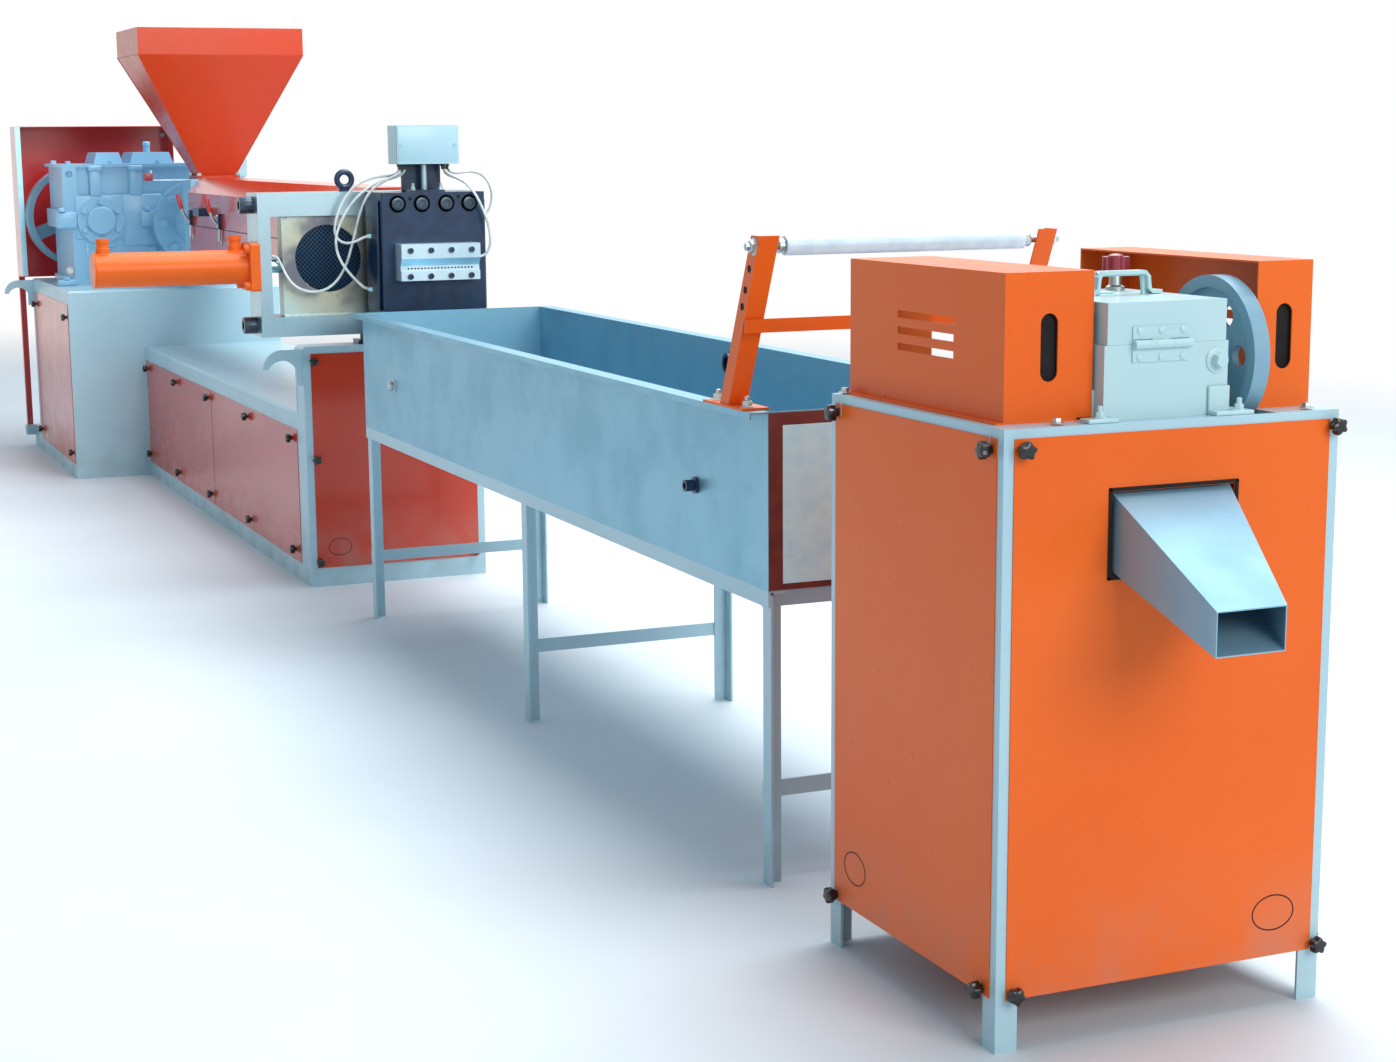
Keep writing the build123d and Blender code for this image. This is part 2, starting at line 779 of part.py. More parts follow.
with BuildPart() as hydraulic_cylinder:
    rod_y(cylinder_radius, slide_middle, cylinder_end, cylinder_foot, cylinder_height)
    block(slide_middle - cylinder_flange_half, slide_middle + cylinder_flange_half, cylinder_foot,
          -frame_half, cylinder_height - cylinder_flange_half, cylinder_height + cylinder_flange_half)
    fillet(hydraulic_cylinder.edges().filter_by(Axis.Y).group_by(SortBy.LENGTH)[0], base_edge)
    for port_y in (cylinder_end + port_inset, cylinder_foot - port_inset):
        rod_z(port_radius, slide_middle, port_y, cylinder_height, cylinder_height + cylinder_radius + port_height)
    rod_y(rod_radius + slide_gap, slide_middle, cylinder_end + cylinder_flange_thick, -frame_half,
          cylinder_height, mode=Mode.SUBTRACT)
save(hydraulic_cylinder, "hydraulic_cylinder")

with BuildPart() as lifting_eye:
    eye_x = (changer_rear + changer_front) / 2
    eye_level = frame_top + lifting_eye_radius + lifting_eye_wire / 2
    rod_z(lifting_eye_wire * 2, eye_x, lifting_eye_y, frame_top, frame_top + lifting_eye_wire)
    with Locations(Location((eye_x, lifting_eye_y, eye_level), (0, 90, 0))):
        Torus(lifting_eye_radius - lifting_eye_wire, lifting_eye_wire)
save(lifting_eye, "lifting_eye")

# Die block and the strand die on its face
boss_half = body_half - slide_gap * 10

with BuildPart() as die_block:
    block(changer_front, block_front, -block_half, block_half, block_bottom, block_top)
    chamfer(die_block.edges().filter_by(Axis.Z).group_by(Axis.X)[-1], block_edge)
    block(slide_front + slide_gap, changer_front, -boss_half, boss_half,
          frame_bottom + bottom_bar + slide_gap, frame_top - top_bar - slide_gap)
save(die_block, "die_block")

strand_level = die_bottom + (die_top - die_bottom) / 3
groove_share = 0.62

with BuildPart() as strand_die:
    block(block_front, block_front + die_back, -die_half, die_half, die_bottom, die_top)
    face_x = block_front + die_back
    with BuildSketch(Plane.XZ.offset(die_half)):
        with BuildLine():
            Polyline((face_x, die_bottom), (face_x + die_front - die_step / 2, die_bottom),
                     (face_x + die_front - die_step / 2, strand_level - die_step / 2),
                     (face_x + die_front - die_step, strand_level - die_step / 2),
                     (face_x + die_front - die_step, strand_level + die_step / 2),
                     (face_x + die_front, strand_level + die_step * 2),
                     (face_x + die_front, die_top), (face_x, die_top), close=True)
        make_face()
    extrude(amount=-2 * die_half)
    with BuildSketch(Plane.YZ.offset(face_x)):
        with Locations((0, strand_level)):
            with GridLocations(strand_span / (strand_holes - 1), 0, strand_holes, 1):
                Circle(strand_hole)
    extrude(amount=die_front, mode=Mode.SUBTRACT)
save(strand_die, "strand_die")

# Terminal box for the heaters, on a stem and a foot plate
terminal_x = (changer_front + block_front) / 2
stand_foot_half_x = 34
stand_foot_half_y = 55
stand_foot_thick = 6
backplate_half = 62
backplate_thick = 8

with BuildPart() as terminal_box:
    block(terminal_x - terminal_depth / 2, terminal_x + terminal_depth / 2, -terminal_half,
          terminal_half, terminal_base, terminal_base + terminal_height)
    fillet(terminal_box.edges().filter_by(Axis.Z), slide_gap * 2)
save(terminal_box, "terminal_box")

with BuildPart() as terminal_stand:
    block(terminal_x - stand_foot_half_x, terminal_x + stand_foot_half_x, -stand_foot_half_y,
          stand_foot_half_y, block_top, block_top + stand_foot_thick)
    rod_z(stem_radius, terminal_x, 0, block_top + stand_foot_thick, terminal_base)
    block(terminal_x - stand_foot_half_x - backplate_thick, terminal_x - stand_foot_half_x,
          -backplate_half, backplate_half, block_top, terminal_base)
save(terminal_stand, "terminal_stand")


# Heater wires: bundles in a white sleeve that hang between the box and the heaters. Each point is given
# ahead of the changer's front, to the side, and above or below the screw line.
def corner_radii(points):
    """The arc at each corner of a route: 0.45 of its shorter run over the tangent of half the turn."""
    radii = []
    for before, corner, after in zip(points, points[1:], points[2:]):
        run_in = Vector(*corner) - Vector(*before)
        run_out = Vector(*after) - Vector(*corner)
        turn = run_in.get_angle(run_out)
        half_tangent = math.tan(math.radians(turn / 2))
        radii.append(0.45 * min(run_in.length, run_out.length) / half_tangent)
    return radii


wire_radius = 4
wire_routes = {
    "wire_block_upper": [
        (67, -70, 285), (67, -70, 263), (65, -92, 249), (61, -122, 249), (56, -152, 245),
        (52, -182, 235), (48, -212, 217), (45, -238, 187), (43, -258, 150), (45, -272, 111),
        (51, -277, 77), (61, -264, 53), (73, -238, 47), (79, -212, 56),
        (81, -188, 69), (81, -163, 69)],
    "wire_block_lower": [
        (97, -60, 285), (97, -60, 265), (95, -80, 249), (91, -110, 241), (85, -144, 232),
        (80, -176, 215), (75, -208, 189), (71, -238, 153), (68, -262, 111), (67, -278, 67),
        (68, -277, 27), (71, -264, -9), (75, -242, -41), (77, -215, -71),
        (78, -190, -93), (78, -163, -93)],
    "wire_changer_side": [
        (125, -84, 285), (125, -84, 265), (123, -104, 249), (115, -134, 235), (103, -165, 215),
        (91, -189, 181), (79, -205, 135), (67, -216, 83), (57, -228, 31), (49, -242, -17),
        (43, -266, -61), (39, -300, -91), (33, -344, -101), (25, -386, -89),
        (15, -406, -71), (1, -418, -49), (-13, -426, -25), (-26, -432, -5), (-33, -440, 11),
        (-33, -462, 11)],
    "wire_die_right": [
        (95, 60, 285), (95, 60, 267), (109, 68, 251), (141, 86, 243), (173, 106, 229),
        (197, 126, 199), (207, 144, 159), (211, 160, 117), (209, 170, 75), (204, 172, 39),
        (197, 162, 13), (193, 144, 3), (193, 124, 3)],
    "wire_block_right": [
        (65, 80, 285), (65, 80, 267), (65, 104, 255), (66, 134, 259), (68, 164, 261),
        (72, 192, 251), (75, 213, 227), (77, 222, 195), (75, 220, 161), (71, 208, 133),
        (67, 188, 119), (67, 163, 119)],
}
for wire_name, wire_steps in wire_routes.items():
    wire_points = [(changer_front + ahead, side, axis_height + rise) for ahead, side, rise in wire_steps]
    wire_bends = corner_radii(wire_points)
    with BuildPart() as wire:
        with BuildLine() as wire_path:
            FilletPolyline(*wire_points, radius=wire_bends)
        start_plane = Plane(origin=wire_path.line @ 0, z_dir=wire_path.line % 0)
        with BuildSketch(start_plane):
            Circle(wire_radius)
        sweep(path=wire_path.line)
    save(wire, wire_name)

# Cooling trough: a folded tank with outward rims, on an angle-iron stand
with BuildPart() as water_tank:
    block(trough_start, trough_end, trough_near, trough_far, trough_floor, trough_rim)
    block(trough_start + sheet, trough_end - sheet, trough_near + sheet, trough_far - sheet,
          trough_floor + sheet, trough_rim + cut_over, mode=Mode.SUBTRACT)
    for rim_low, lip_low in ((trough_near - rim_width, trough_near - rim_width),
                             (trough_far, trough_far + rim_width - sheet)):
        block(trough_start, trough_end, rim_low, rim_low + rim_width, trough_rim - sheet, trough_rim)
        block(trough_start, trough_end, lip_low, lip_low + sheet, trough_rim - rim_lip, trough_rim)
save(water_tank, "water_tank")

with BuildPart() as trough_rails:
    for rail_y in (trough_near, trough_far - leg_width):
        block(trough_start, trough_end, rail_y, rail_y + leg_width, trough_floor - angle_wall, trough_floor)
        outer_y = rail_y if rail_y < 0 else rail_y + leg_width - angle_wall
        block(trough_start, trough_end, outer_y, outer_y + angle_wall,
              trough_floor - trough_rail, trough_floor)
save(trough_rails, "trough_rails")

rail_under = trough_floor - angle_wall
leg_places = (trough_start, (trough_start + trough_end - leg_width) / 2, trough_end - leg_width)

with BuildPart() as trough_legs:
    for leg_x in leg_places:
        for leg_y, open_side in ((trough_near + angle_wall, 1), (trough_far - angle_wall - leg_width, -1)):
            with BuildSketch(Plane.XY):
                with Locations((leg_x, leg_y)):
                    Rectangle(leg_width, leg_width, align=(Align.MIN, Align.MIN))
                with Locations((leg_x + angle_wall, leg_y + open_side * angle_wall)):
                    Rectangle(leg_width, leg_width, align=(Align.MIN, Align.MIN), mode=Mode.SUBTRACT)
            extrude(amount=rail_under)
save(trough_legs, "trough_legs")

with BuildPart() as trough_ties:
    for leg_x in leg_places:
        block(leg_x - tie_thick, leg_x, trough_near + angle_wall, trough_far - angle_wall, tie_low, tie_high)
        if leg_x == trough_end - leg_width or leg_x == trough_start:
            block(leg_x - tie_thick, leg_x, trough_near + angle_wall, trough_far - angle_wall,
                  rail_under - trough_rail, rail_under)
save(trough_ties, "trough_ties")

# Guide roller: two leaning angle arms with a nylon roller on a fixed axle
arm_base = trough_rim + arm_seat_thick


def arm_blade(shift, width):
    """One flange of a leaning arm in side view."""
    with BuildLine() as outline:
        Polyline((arm_foot_x + shift, arm_base), (arm_foot_x + shift + width, arm_base),
                 (arm_head_x + shift + width, arm_head), (arm_head_x + shift, arm_head), close=True)
    make_face(outline.edges())


near_seat = trough_near - rim_width
far_seat = trough_far + rim_width - arm_seat_width
arm_shift = -arm_width / 2

with BuildPart() as roller_arms:
    for seat_y, web_y, flange_y in (
            (near_seat, near_seat + arm_wall, near_seat + arm_wall),
            (far_seat, far_seat + arm_seat_width - 2 * arm_wall,
             far_seat + arm_seat_width - arm_wall - arm_width)):
        block(arm_foot_x - arm_seat_length / 2, arm_foot_x + arm_seat_length / 2, seat_y,
              seat_y + arm_seat_width, trough_rim, arm_base)
        with BuildSketch(Plane.XZ.offset(-web_y)):
            arm_blade(arm_shift, arm_width)
        extrude(amount=-arm_wall)
        with BuildSketch(Plane.XZ.offset(-flange_y)):
            arm_blade(arm_shift + arm_width - arm_wall, arm_wall)
        extrude(amount=-arm_width)
    rod_y(roller_axle + touch_gap, roller_x, near_seat, far_seat + arm_seat_width, roller_height,
          mode=Mode.SUBTRACT)
save(roller_arms, "roller_arms")

cross_x = arm_foot_x + (arm_head_x - arm_foot_x) * (cross_low + cross_height - arm_base) / (arm_head - arm_base)

with BuildPart() as arm_crossbar:
    block(cross_x + arm_width / 2, cross_x + arm_width / 2 + cross_wall, near_seat + arm_wall,
          far_seat + arm_seat_width - arm_wall, cross_low, cross_low + cross_height)
save(arm_crossbar, "arm_crossbar")

roller_near = near_seat + arm_width + roller_inset
roller_far = far_seat + arm_seat_width - arm_width - roller_inset

with BuildPart() as roller_axle_bar:
    rod_y(roller_axle, roller_x, near_seat - roller_inset / 2, far_seat + arm_seat_width + roller_inset / 2,
          roller_height)
save(roller_axle_bar, "roller_axle")

with BuildPart() as guide_roller:
    rod_y(roller_radius, roller_x, roller_near, roller_far, roller_height)
    rod_y(roller_axle + touch_gap, roller_x, roller_near, roller_far, roller_height, mode=Mode.SUBTRACT)
save(guide_roller, "guide_roller")

# Pelletizer cabinet: angle posts, a table plate and screwed panels
rail_low = cabinet_height - table_thick - rail_height

with BuildPart() as cabinet_posts:
    for post_x, open_x in ((cabinet_rear, 1), (cabinet_front - cabinet_post, -1)):
        for post_y, open_y in ((cabinet_near, 1), (cabinet_far - cabinet_post, -1)):
            with BuildSketch(Plane.XY):
                with Locations((post_x, post_y)):
                    Rectangle(cabinet_post, cabinet_post, align=(Align.MIN, Align.MIN))
                with Locations((post_x + open_x * cabinet_post_wall, post_y + open_y * cabinet_post_wall)):
                    Rectangle(cabinet_post, cabinet_post, align=(Align.MIN, Align.MIN), mode=Mode.SUBTRACT)
            extrude(amount=cabinet_height - table_thick)
save(cabinet_posts, "cabinet_posts")

with BuildPart() as cabinet_rails:
    for rail_x in (cabinet_rear, cabinet_front - cabinet_post_wall):
        block(rail_x, rail_x + cabinet_post_wall, cabinet_near + cabinet_post, cabinet_far - cabinet_post,
              rail_low, cabinet_height - table_thick)
    for rail_y in (cabinet_near, cabinet_far - cabinet_post_wall):
        block(cabinet_rear + cabinet_post, cabinet_front - cabinet_post, rail_y, rail_y + cabinet_post_wall,
              rail_low, cabinet_height - table_thick)
save(cabinet_rails, "cabinet_rails")

slot_half = flywheel_radius + run_gap * 3
flywheel_far = flywheel_y + flywheel_width
drop_half = rotor_radius

with BuildPart() as cabinet_table:
    block(cabinet_rear, cabinet_front, cabinet_near, cabinet_far, cabinet_height - table_thick, cabinet_height)
    block(rotor_x - slot_half, rotor_x + slot_half, flywheel_y - run_gap, flywheel_far + run_gap,
          cabinet_height - table_thick, cabinet_height, mode=Mode.SUBTRACT)
    block(rotor_x - drop_half, rotor_x + drop_half, housing_near + housing_wall, housing_far - housing_wall,
          cabinet_height - table_thick, cabinet_height, mode=Mode.SUBTRACT)
save(cabinet_table, "cabinet_table")

panel_high = cabinet_height - panel_top_gap

with BuildPart() as front_panel:
    block(cabinet_front, cabinet_front + panel_sheet, cabinet_near + panel_edge, cabinet_far - panel_edge,
          panel_low, panel_high)
    block(cabinet_front, cabinet_front + panel_sheet, chute_near - chute_clear, chute_far + chute_clear,
          chute_bottom - chute_clear, chute_top + chute_clear, mode=Mode.SUBTRACT)
save(front_panel, "front_panel")

with BuildPart() as cabinet_panels:
    for panel_y in (cabinet_near - panel_sheet, cabinet_far):
        block(cabinet_rear + panel_edge, cabinet_front - panel_edge, panel_y, panel_y + panel_sheet,
              panel_low, panel_high)
    block(cabinet_rear - panel_sheet, cabinet_rear, cabinet_near + panel_edge, cabinet_far - panel_edge,
          panel_low, panel_high)
save(cabinet_panels, "cabinet_panels")


# Belt guards on the table: folded boxes, open below and towards the cutter
def guard_shell(start, length, low_y, high_y, top, open_side):
    """A folded sheet box, open below and on one side, with a slot in its front end."""
    block(start, start + length, low_y, high_y, cabinet_height, top)
    block(start + sheet, start + length - sheet, low_y - cut_over if open_side < 0 else low_y + sheet,
          high_y + cut_over if open_side > 0 else high_y - sheet, cabinet_height - cut_over, top - sheet,
          mode=Mode.SUBTRACT)
    with BuildSketch(Plane.YZ.offset(start + length - 2 * sheet)) as slot:
        with Locations(((low_y + high_y) / 2, guard_slot_centre)):
            SlotOverall(guard_slot_height, guard_slot_width, rotation=90)
    extrude(slot.sketch, amount=cut_over, mode=Mode.SUBTRACT)


guard_toe = 15

with BuildPart() as near_guard:
    guard_shell(near_guard_start, near_guard_length, near_guard_low_y, housing_near - run_gap,
                near_guard_top, 1)
    block(near_guard_start, near_guard_start + near_guard_length, near_guard_low_y - guard_toe,
          near_guard_low_y, cabinet_height, cabinet_height + sheet)
    louvre_start = near_guard_start + near_guard_length / 3
    for louvre in range(louvre_count):
        louvre_low = guard_slot_centre + louvre_pitch - louvre * louvre_pitch
        block(louvre_start, louvre_start + louvre_length, near_guard_low_y - cut_over,
              near_guard_low_y + cut_over, louvre_low, louvre_low + louvre_height, mode=Mode.SUBTRACT)
save(near_guard, "near_guard")

with BuildPart() as far_guard:
    guard_shell(far_guard_start, far_guard_length, far_guard_near, far_guard_far, far_guard_top, -1)
    louvre_start = far_guard_start + far_guard_length / 3
    for louvre in range(louvre_count):
        louvre_low = guard_slot_centre + louvre_pitch - louvre * louvre_pitch
        block(louvre_start, louvre_start + louvre_length, far_guard_far - cut_over,
              far_guard_far + cut_over, louvre_low, louvre_low + louvre_height, mode=Mode.SUBTRACT)
save(far_guard, "far_guard")

# Cutter: a thick-walled housing with bearing bosses, a lid hinged at the front, and the rotor
bearing_radius = 28
bearing_depth = 22
knuckle = (hinge_far - hinge_near) / 3
hinge_x = housing_front + hinge_radius + touch_gap

with BuildPart() as cutter_housing:
    block(housing_rear, housing_front, housing_near, housing_far, cabinet_height, lid_seam)
    block(housing_rear + housing_wall, housing_front - housing_wall, housing_near + housing_wall,
          housing_far - housing_wall, cabinet_height - cut_over, lid_seam + cut_over, mode=Mode.SUBTRACT)
    block(housing_rear + housing_wall, rotor_x - rotor_radius - run_gap * 2, housing_near + housing_wall,
          housing_far - housing_wall, cabinet_height, cabinet_height + housing_wall)
    rod_y(bearing_radius, rotor_x, housing_far, housing_far + bearing_depth, rotor_height)
    block(housing_front, housing_front + hinge_plate, hinge_near, hinge_far, lid_seam - hinge_leaf, lid_seam)
    for knuckle_low, knuckle_high in ((hinge_near, hinge_near + knuckle), (hinge_far - knuckle, hinge_far)):
        rod_y(hinge_radius, hinge_x, knuckle_low, knuckle_high, lid_seam)
    block(housing_front, housing_front + hinge_plate, hinge_near + knuckle - touch_gap,
          hinge_far - knuckle + touch_gap, lid_seam - hinge_radius - touch_gap, lid_seam, mode=Mode.SUBTRACT)
    rod_y(rotor_shaft + slide_gap, rotor_x, housing_near - cut_over, housing_far + bearing_depth + cut_over,
          rotor_height, mode=Mode.SUBTRACT)
save(cutter_housing, "cutter_housing")

handle_offset_x = 45
handle_x = rotor_x - handle_offset_x
lid_handle_rise = 34
lid_handle_bar = 8
lid_handle_near = 12
lid_handle_far = 98
knob_set_in = 40
knob_x = housing_rear + knob_set_in
knob_y = 110
knob_stem = 8
knob_height = 26
knob_rise = 30
lobe_count = 6
lobe_radius = 8
lid_near = housing_near + run_gap
lid_far = housing_far - run_gap

with BuildPart() as cutter_lid:
    block(housing_rear, housing_front, lid_near, lid_far, lid_seam + touch_gap, lid_top)
    block(housing_rear + lid_wall, housing_front - lid_wall, lid_near + lid_wall, lid_far - lid_wall,
          lid_seam - cut_over, lid_top - lid_wall, mode=Mode.SUBTRACT)
    for foot_y in (lid_handle_near, lid_handle_far):
        rod_z(lid_handle_bar / 2, handle_x, foot_y, lid_top, lid_top + lid_handle_rise)
    rod_y(lid_handle_bar / 2, handle_x, lid_handle_near - lid_handle_bar / 2,
          lid_handle_far + lid_handle_bar / 2, lid_top + lid_handle_rise)
    block(housing_front, housing_front + hinge_plate, hinge_near, hinge_far,
          lid_seam + hinge_radius + slide_gap, lid_seam + hinge_leaf)
    rod_y(hinge_radius, hinge_x, hinge_near + knuckle + touch_gap, hinge_far - knuckle - touch_gap, lid_seam)
    block(housing_front + touch_gap, housing_front + hinge_plate, hinge_near + knuckle + touch_gap,
          hinge_far - knuckle - touch_gap, lid_seam, lid_seam + hinge_radius + slide_gap)
save(cutter_lid, "cutter_lid")

with BuildPart() as pressure_knob:
    rod_z(knob_stem, knob_x, knob_y, lid_top, lid_top + knob_rise)
    with BuildSketch(Plane.XY.offset(lid_top + knob_rise)):
        with Locations((knob_x, knob_y)):
            Circle(knob_radius)
            with PolarLocations(knob_radius + lobe_radius / 2, lobe_count):
                Circle(lobe_radius, mode=Mode.SUBTRACT)
    extrude(amount=knob_height)
save(pressure_knob, "pressure_knob")

near_pulley_far = housing_near - near_pulley_gap
near_pulley_near = near_pulley_far - near_pulley_width

with BuildPart() as cutter_rotor:
    with BuildSketch(Plane.XZ.offset(-(housing_near + housing_wall + run_gap))):
        with Locations((rotor_x, rotor_height)):
            Circle(rotor_radius - tooth_depth)
            with PolarLocations(rotor_radius - tooth_depth, rotor_teeth):
                Rectangle(2 * tooth_depth, tooth_width)
    extrude(amount=-(housing_far - housing_near - 2 * housing_wall - 2 * run_gap))
    rod_y(rotor_shaft, rotor_x, near_pulley_near, flywheel_far, rotor_height)
save(cutter_rotor, "cutter_rotor")

with BuildPart() as flywheel:
    web_near = flywheel_y + (flywheel_width - flywheel_web) / 2
    with BuildSketch(Plane.XZ.offset(-flywheel_y)):
        with Locations((rotor_x, rotor_height)):
            Circle(flywheel_radius)
            Circle(flywheel_radius - flywheel_rim, mode=Mode.SUBTRACT)
    extrude(amount=-flywheel_width)
    with BuildSketch(Plane.XZ.offset(-web_near)):
        with Locations((rotor_x, rotor_height)):
            Circle(flywheel_radius - flywheel_rim / 2)
            with PolarLocations(flywheel_hole_circle, flywheel_holes):
                Circle(flywheel_hole, mode=Mode.SUBTRACT)
    extrude(amount=-flywheel_web)
    rod_y(rotor_shaft * 2, rotor_x, flywheel_y, flywheel_far, rotor_height)
    rod_y(rotor_shaft, rotor_x, flywheel_y, flywheel_far, rotor_height, mode=Mode.SUBTRACT)
save(flywheel, "flywheel")

with BuildPart() as near_pulley:
    rod_y(near_pulley_radius, rotor_x, near_pulley_near, near_pulley_far, rotor_height)
    rod_y(rotor_shaft, rotor_x, near_pulley_near, near_pulley_far, rotor_height, mode=Mode.SUBTRACT)
save(near_pulley, "near_pulley")


# Outlet chute: a tapered sheet duct that leans out through the front panel
def chute_section(at_x, inset):
    """The chute's upright section at one place along X, moved in by inset."""
    along = (at_x - cabinet_front) / chute_reach
    far_y = chute_far + (chute_mouth_far - chute_far) * along
    top_z = chute_top + (chute_mouth_top - chute_top) * along
    bottom_z = chute_bottom + (chute_mouth_bottom - chute_bottom) * along
    with BuildSketch(Plane.YZ.offset(at_x)) as section:
        with Locations(((chute_near + far_y) / 2, (top_z + bottom_z) / 2)):
            Rectangle(far_y - chute_near - 2 * inset, top_z - bottom_z - 2 * inset)
    return section.sketch


chute_start = cabinet_front - chute_inside
chute_end = cabinet_front + chute_reach

with BuildPart() as chute_void:
    loft(sections=[chute_section(chute_start - chute_sheet, chute_sheet),
                   chute_section(chute_end + chute_sheet, chute_sheet)])

with BuildPart() as outlet_chute:
    loft(sections=[chute_section(chute_start, 0), chute_section(chute_end, 0)])
    block(chute_start, chute_start + chute_sheet * 10, chute_near, chute_near + chute_sheet,
          chute_top, cabinet_height - table_thick)
    add(chute_void.part, mode=Mode.SUBTRACT)
save(outlet_chute, "outlet_chute")
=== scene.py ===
import bpy
import math
import mathutils
import numpy as np
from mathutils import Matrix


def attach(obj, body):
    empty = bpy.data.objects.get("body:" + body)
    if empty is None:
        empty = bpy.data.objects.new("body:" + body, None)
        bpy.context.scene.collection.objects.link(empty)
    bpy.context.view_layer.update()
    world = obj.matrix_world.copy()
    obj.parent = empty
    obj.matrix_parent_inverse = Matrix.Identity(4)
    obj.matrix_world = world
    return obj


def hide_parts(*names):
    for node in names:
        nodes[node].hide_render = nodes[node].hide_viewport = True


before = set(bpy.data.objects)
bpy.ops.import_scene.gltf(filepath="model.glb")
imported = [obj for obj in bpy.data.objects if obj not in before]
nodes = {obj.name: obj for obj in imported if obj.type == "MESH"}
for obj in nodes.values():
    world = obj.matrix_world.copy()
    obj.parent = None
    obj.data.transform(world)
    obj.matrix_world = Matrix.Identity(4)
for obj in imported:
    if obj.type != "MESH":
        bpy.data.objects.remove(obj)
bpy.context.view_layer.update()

# Base frame: pedestal, bed and die-end stand of the extruder, folded and welded from sheet and sprayed
# pale blue-grey, with red sheet panels hung between. Added pieces are numpy surfaces in the CAD's own
# millimetres, drawn in place, so that each object sits at the origin.


class Value:
    """One output of a shader tree, so that shader maths reads as maths."""

    def __init__(self, tree, socket):
        self.tree, self.socket = tree, socket

    def node(self, kind, output, inputs, **settings):
        """Adds a node of any kind to the tree and gives one of its outputs."""
        made = self.tree.nodes.new("ShaderNode" + kind)
        for key, setting in settings.items():
            setattr(made, key, setting)
        for key, given in inputs.items():
            if isinstance(given, Value):
                self.tree.links.new(given.socket, made.inputs[key])
            else:
                made.inputs[key].default_value = given
        return Value(self.tree, made.outputs[output])

    def maths(self, operation, other):
        """A Math node of this value and another."""
        return self.node("Math", 0, {0: self, 1: other}, operation=operation)

    def __add__(self, other):
        return self.maths("ADD", other)

    __radd__ = __add__

    def __mul__(self, other):
        return self.maths("MULTIPLY", other)

    __rmul__ = __mul__

    def __sub__(self, other):
        return self.maths("SUBTRACT", other)

    def __rsub__(self, other):
        return self * -1.0 + other

    def steps(self, low, high, to_low=0.0, to_high=1.0):
        """Smooth step from low to high."""
        return self.node("MapRange", 0, {0: self, 1: low, 2: high, 3: to_low, 4: to_high},
                         interpolation_type="SMOOTHSTEP")

    def noise(self, scale, detail=3.0, stretch=(1, 1, 1)):
        """Noise over this vector, scale in waves per metre."""
        pulled = self.node("VectorMath", 0, {0: self, 1: stretch}, operation="MULTIPLY")
        return self.node("TexNoise", 0, {"Vector": pulled, "Scale": scale, "Detail": detail})

    def blend(self, first, second):
        """Colour between first and second by this factor."""
        return self.node("Mix", 2, {0: self, 6: first, 7: second}, data_type="RGBA")

    def part(self, letter):
        """The X, Y or Z of this vector."""
        return self.node("SeparateXYZ", letter, {0: self})

    def bump(self, strength, distance):
        """Normal raised by this height."""
        return self.node("Bump", "Normal", {"Height": self, "Strength": strength, "Distance": distance})

    def into(self, shader, name):
        """Feeds one input of the shader."""
        self.tree.links.new(self.socket, shader.inputs[name])


def tint(red, green, blue):
    """Linear colour of an sRGB triple: ((c + 0.055) / 1.055) ^ 2.4."""
    return tuple(((c + 0.055) / 1.055) ** 2.4 if c > 0.04 else c / 12.92 for c in (red, green, blue)) + (1.0,)


def begin(name, metallic=0.0, coat=0.0):
    """A new material: itself, its shader and its Object coordinates."""
    made = bpy.data.materials.new(name)
    made.use_nodes = True
    shader = made.node_tree.nodes["Principled BSDF"]
    shader.inputs["Metallic"].default_value = metallic
    shader.inputs["Coat Weight"].default_value = coat
    shader.inputs["Coat Roughness"].default_value = 0.12
    coords = made.node_tree.nodes.new("ShaderNodeTexCoord")
    return made, shader, Value(made.node_tree, coords.outputs["Object"])


def enamel(name, colour, deep, dust, rough=0.32, coat=0.25, peel=0.05, grain=420.0, marks=0.5,
           shine=0.5):
    """Sprayed enamel: slow tone drift, scuffs, dust that thickens below 0.25 m, orange-peel bump."""
    made, shader, at = begin(name, 0.0, coat)
    shader.inputs["Specular IOR Level"].default_value = shine
    drift = at.noise(1.7, 4.0).steps(0.3, 0.7)
    scuff = at.noise(22.0, 6.0, (1, 1, 2.5)).steps(0.63, 0.74) * marks
    low = at.part("Z").steps(0.3, 0.0) * at.noise(9.0, 5.0).steps(0.3, 0.75)
    settled = scuff * 0.22 + low * 0.42
    settled.blend(drift.blend(tint(*colour), tint(*deep)), tint(*dust)).into(shader, "Base Color")
    (at.noise(14.0, 4.0) * 0.16 + scuff * 0.2 + low * 0.3 + (rough - 0.08)).into(shader, "Roughness")
    (at.noise(grain, 2.0) + at.noise(7.0, 2.0) * 0.8).bump(peel, 0.002).into(shader, "Normal")
    return made


def dress(look, names, edge=1.5):
    """Gives CAD nodes their material and a bevel of edge millimetres, so that their edges catch light."""
    for node_name in names.split():
        shown = nodes[node_name]
        shown.data.materials.clear()
        shown.data.materials.append(look)
        if edge:
            bevel = shown.modifiers.new("soft_edges", "BEVEL")
            bevel.width = edge * 0.001
            bevel.segments = 2
            bevel.limit_method = "ANGLE"
            bevel.angle_limit = math.radians(40)


def loft(rows, caps=True):
    """Surface through closed rows P(i, j): quads P(i,j) P(i,j+1) P(i+1,j+1) P(i+1,j), j wrapping round."""
    rows = np.asarray(rows, float)
    count, around = rows.shape[:2]
    i, j = np.meshgrid(np.arange(count - 1), np.arange(around), indexing="ij")
    k = (j + 1) % around
    quads = np.stack([i * around + j, i * around + k, (i + 1) * around + k, (i + 1) * around + j], -1)
    ends = [list(range(around))[::-1], list(range((count - 1) * around, count * around))] if caps else []
    return rows.reshape(-1, 3), quads.reshape(-1, 4).tolist() + ends


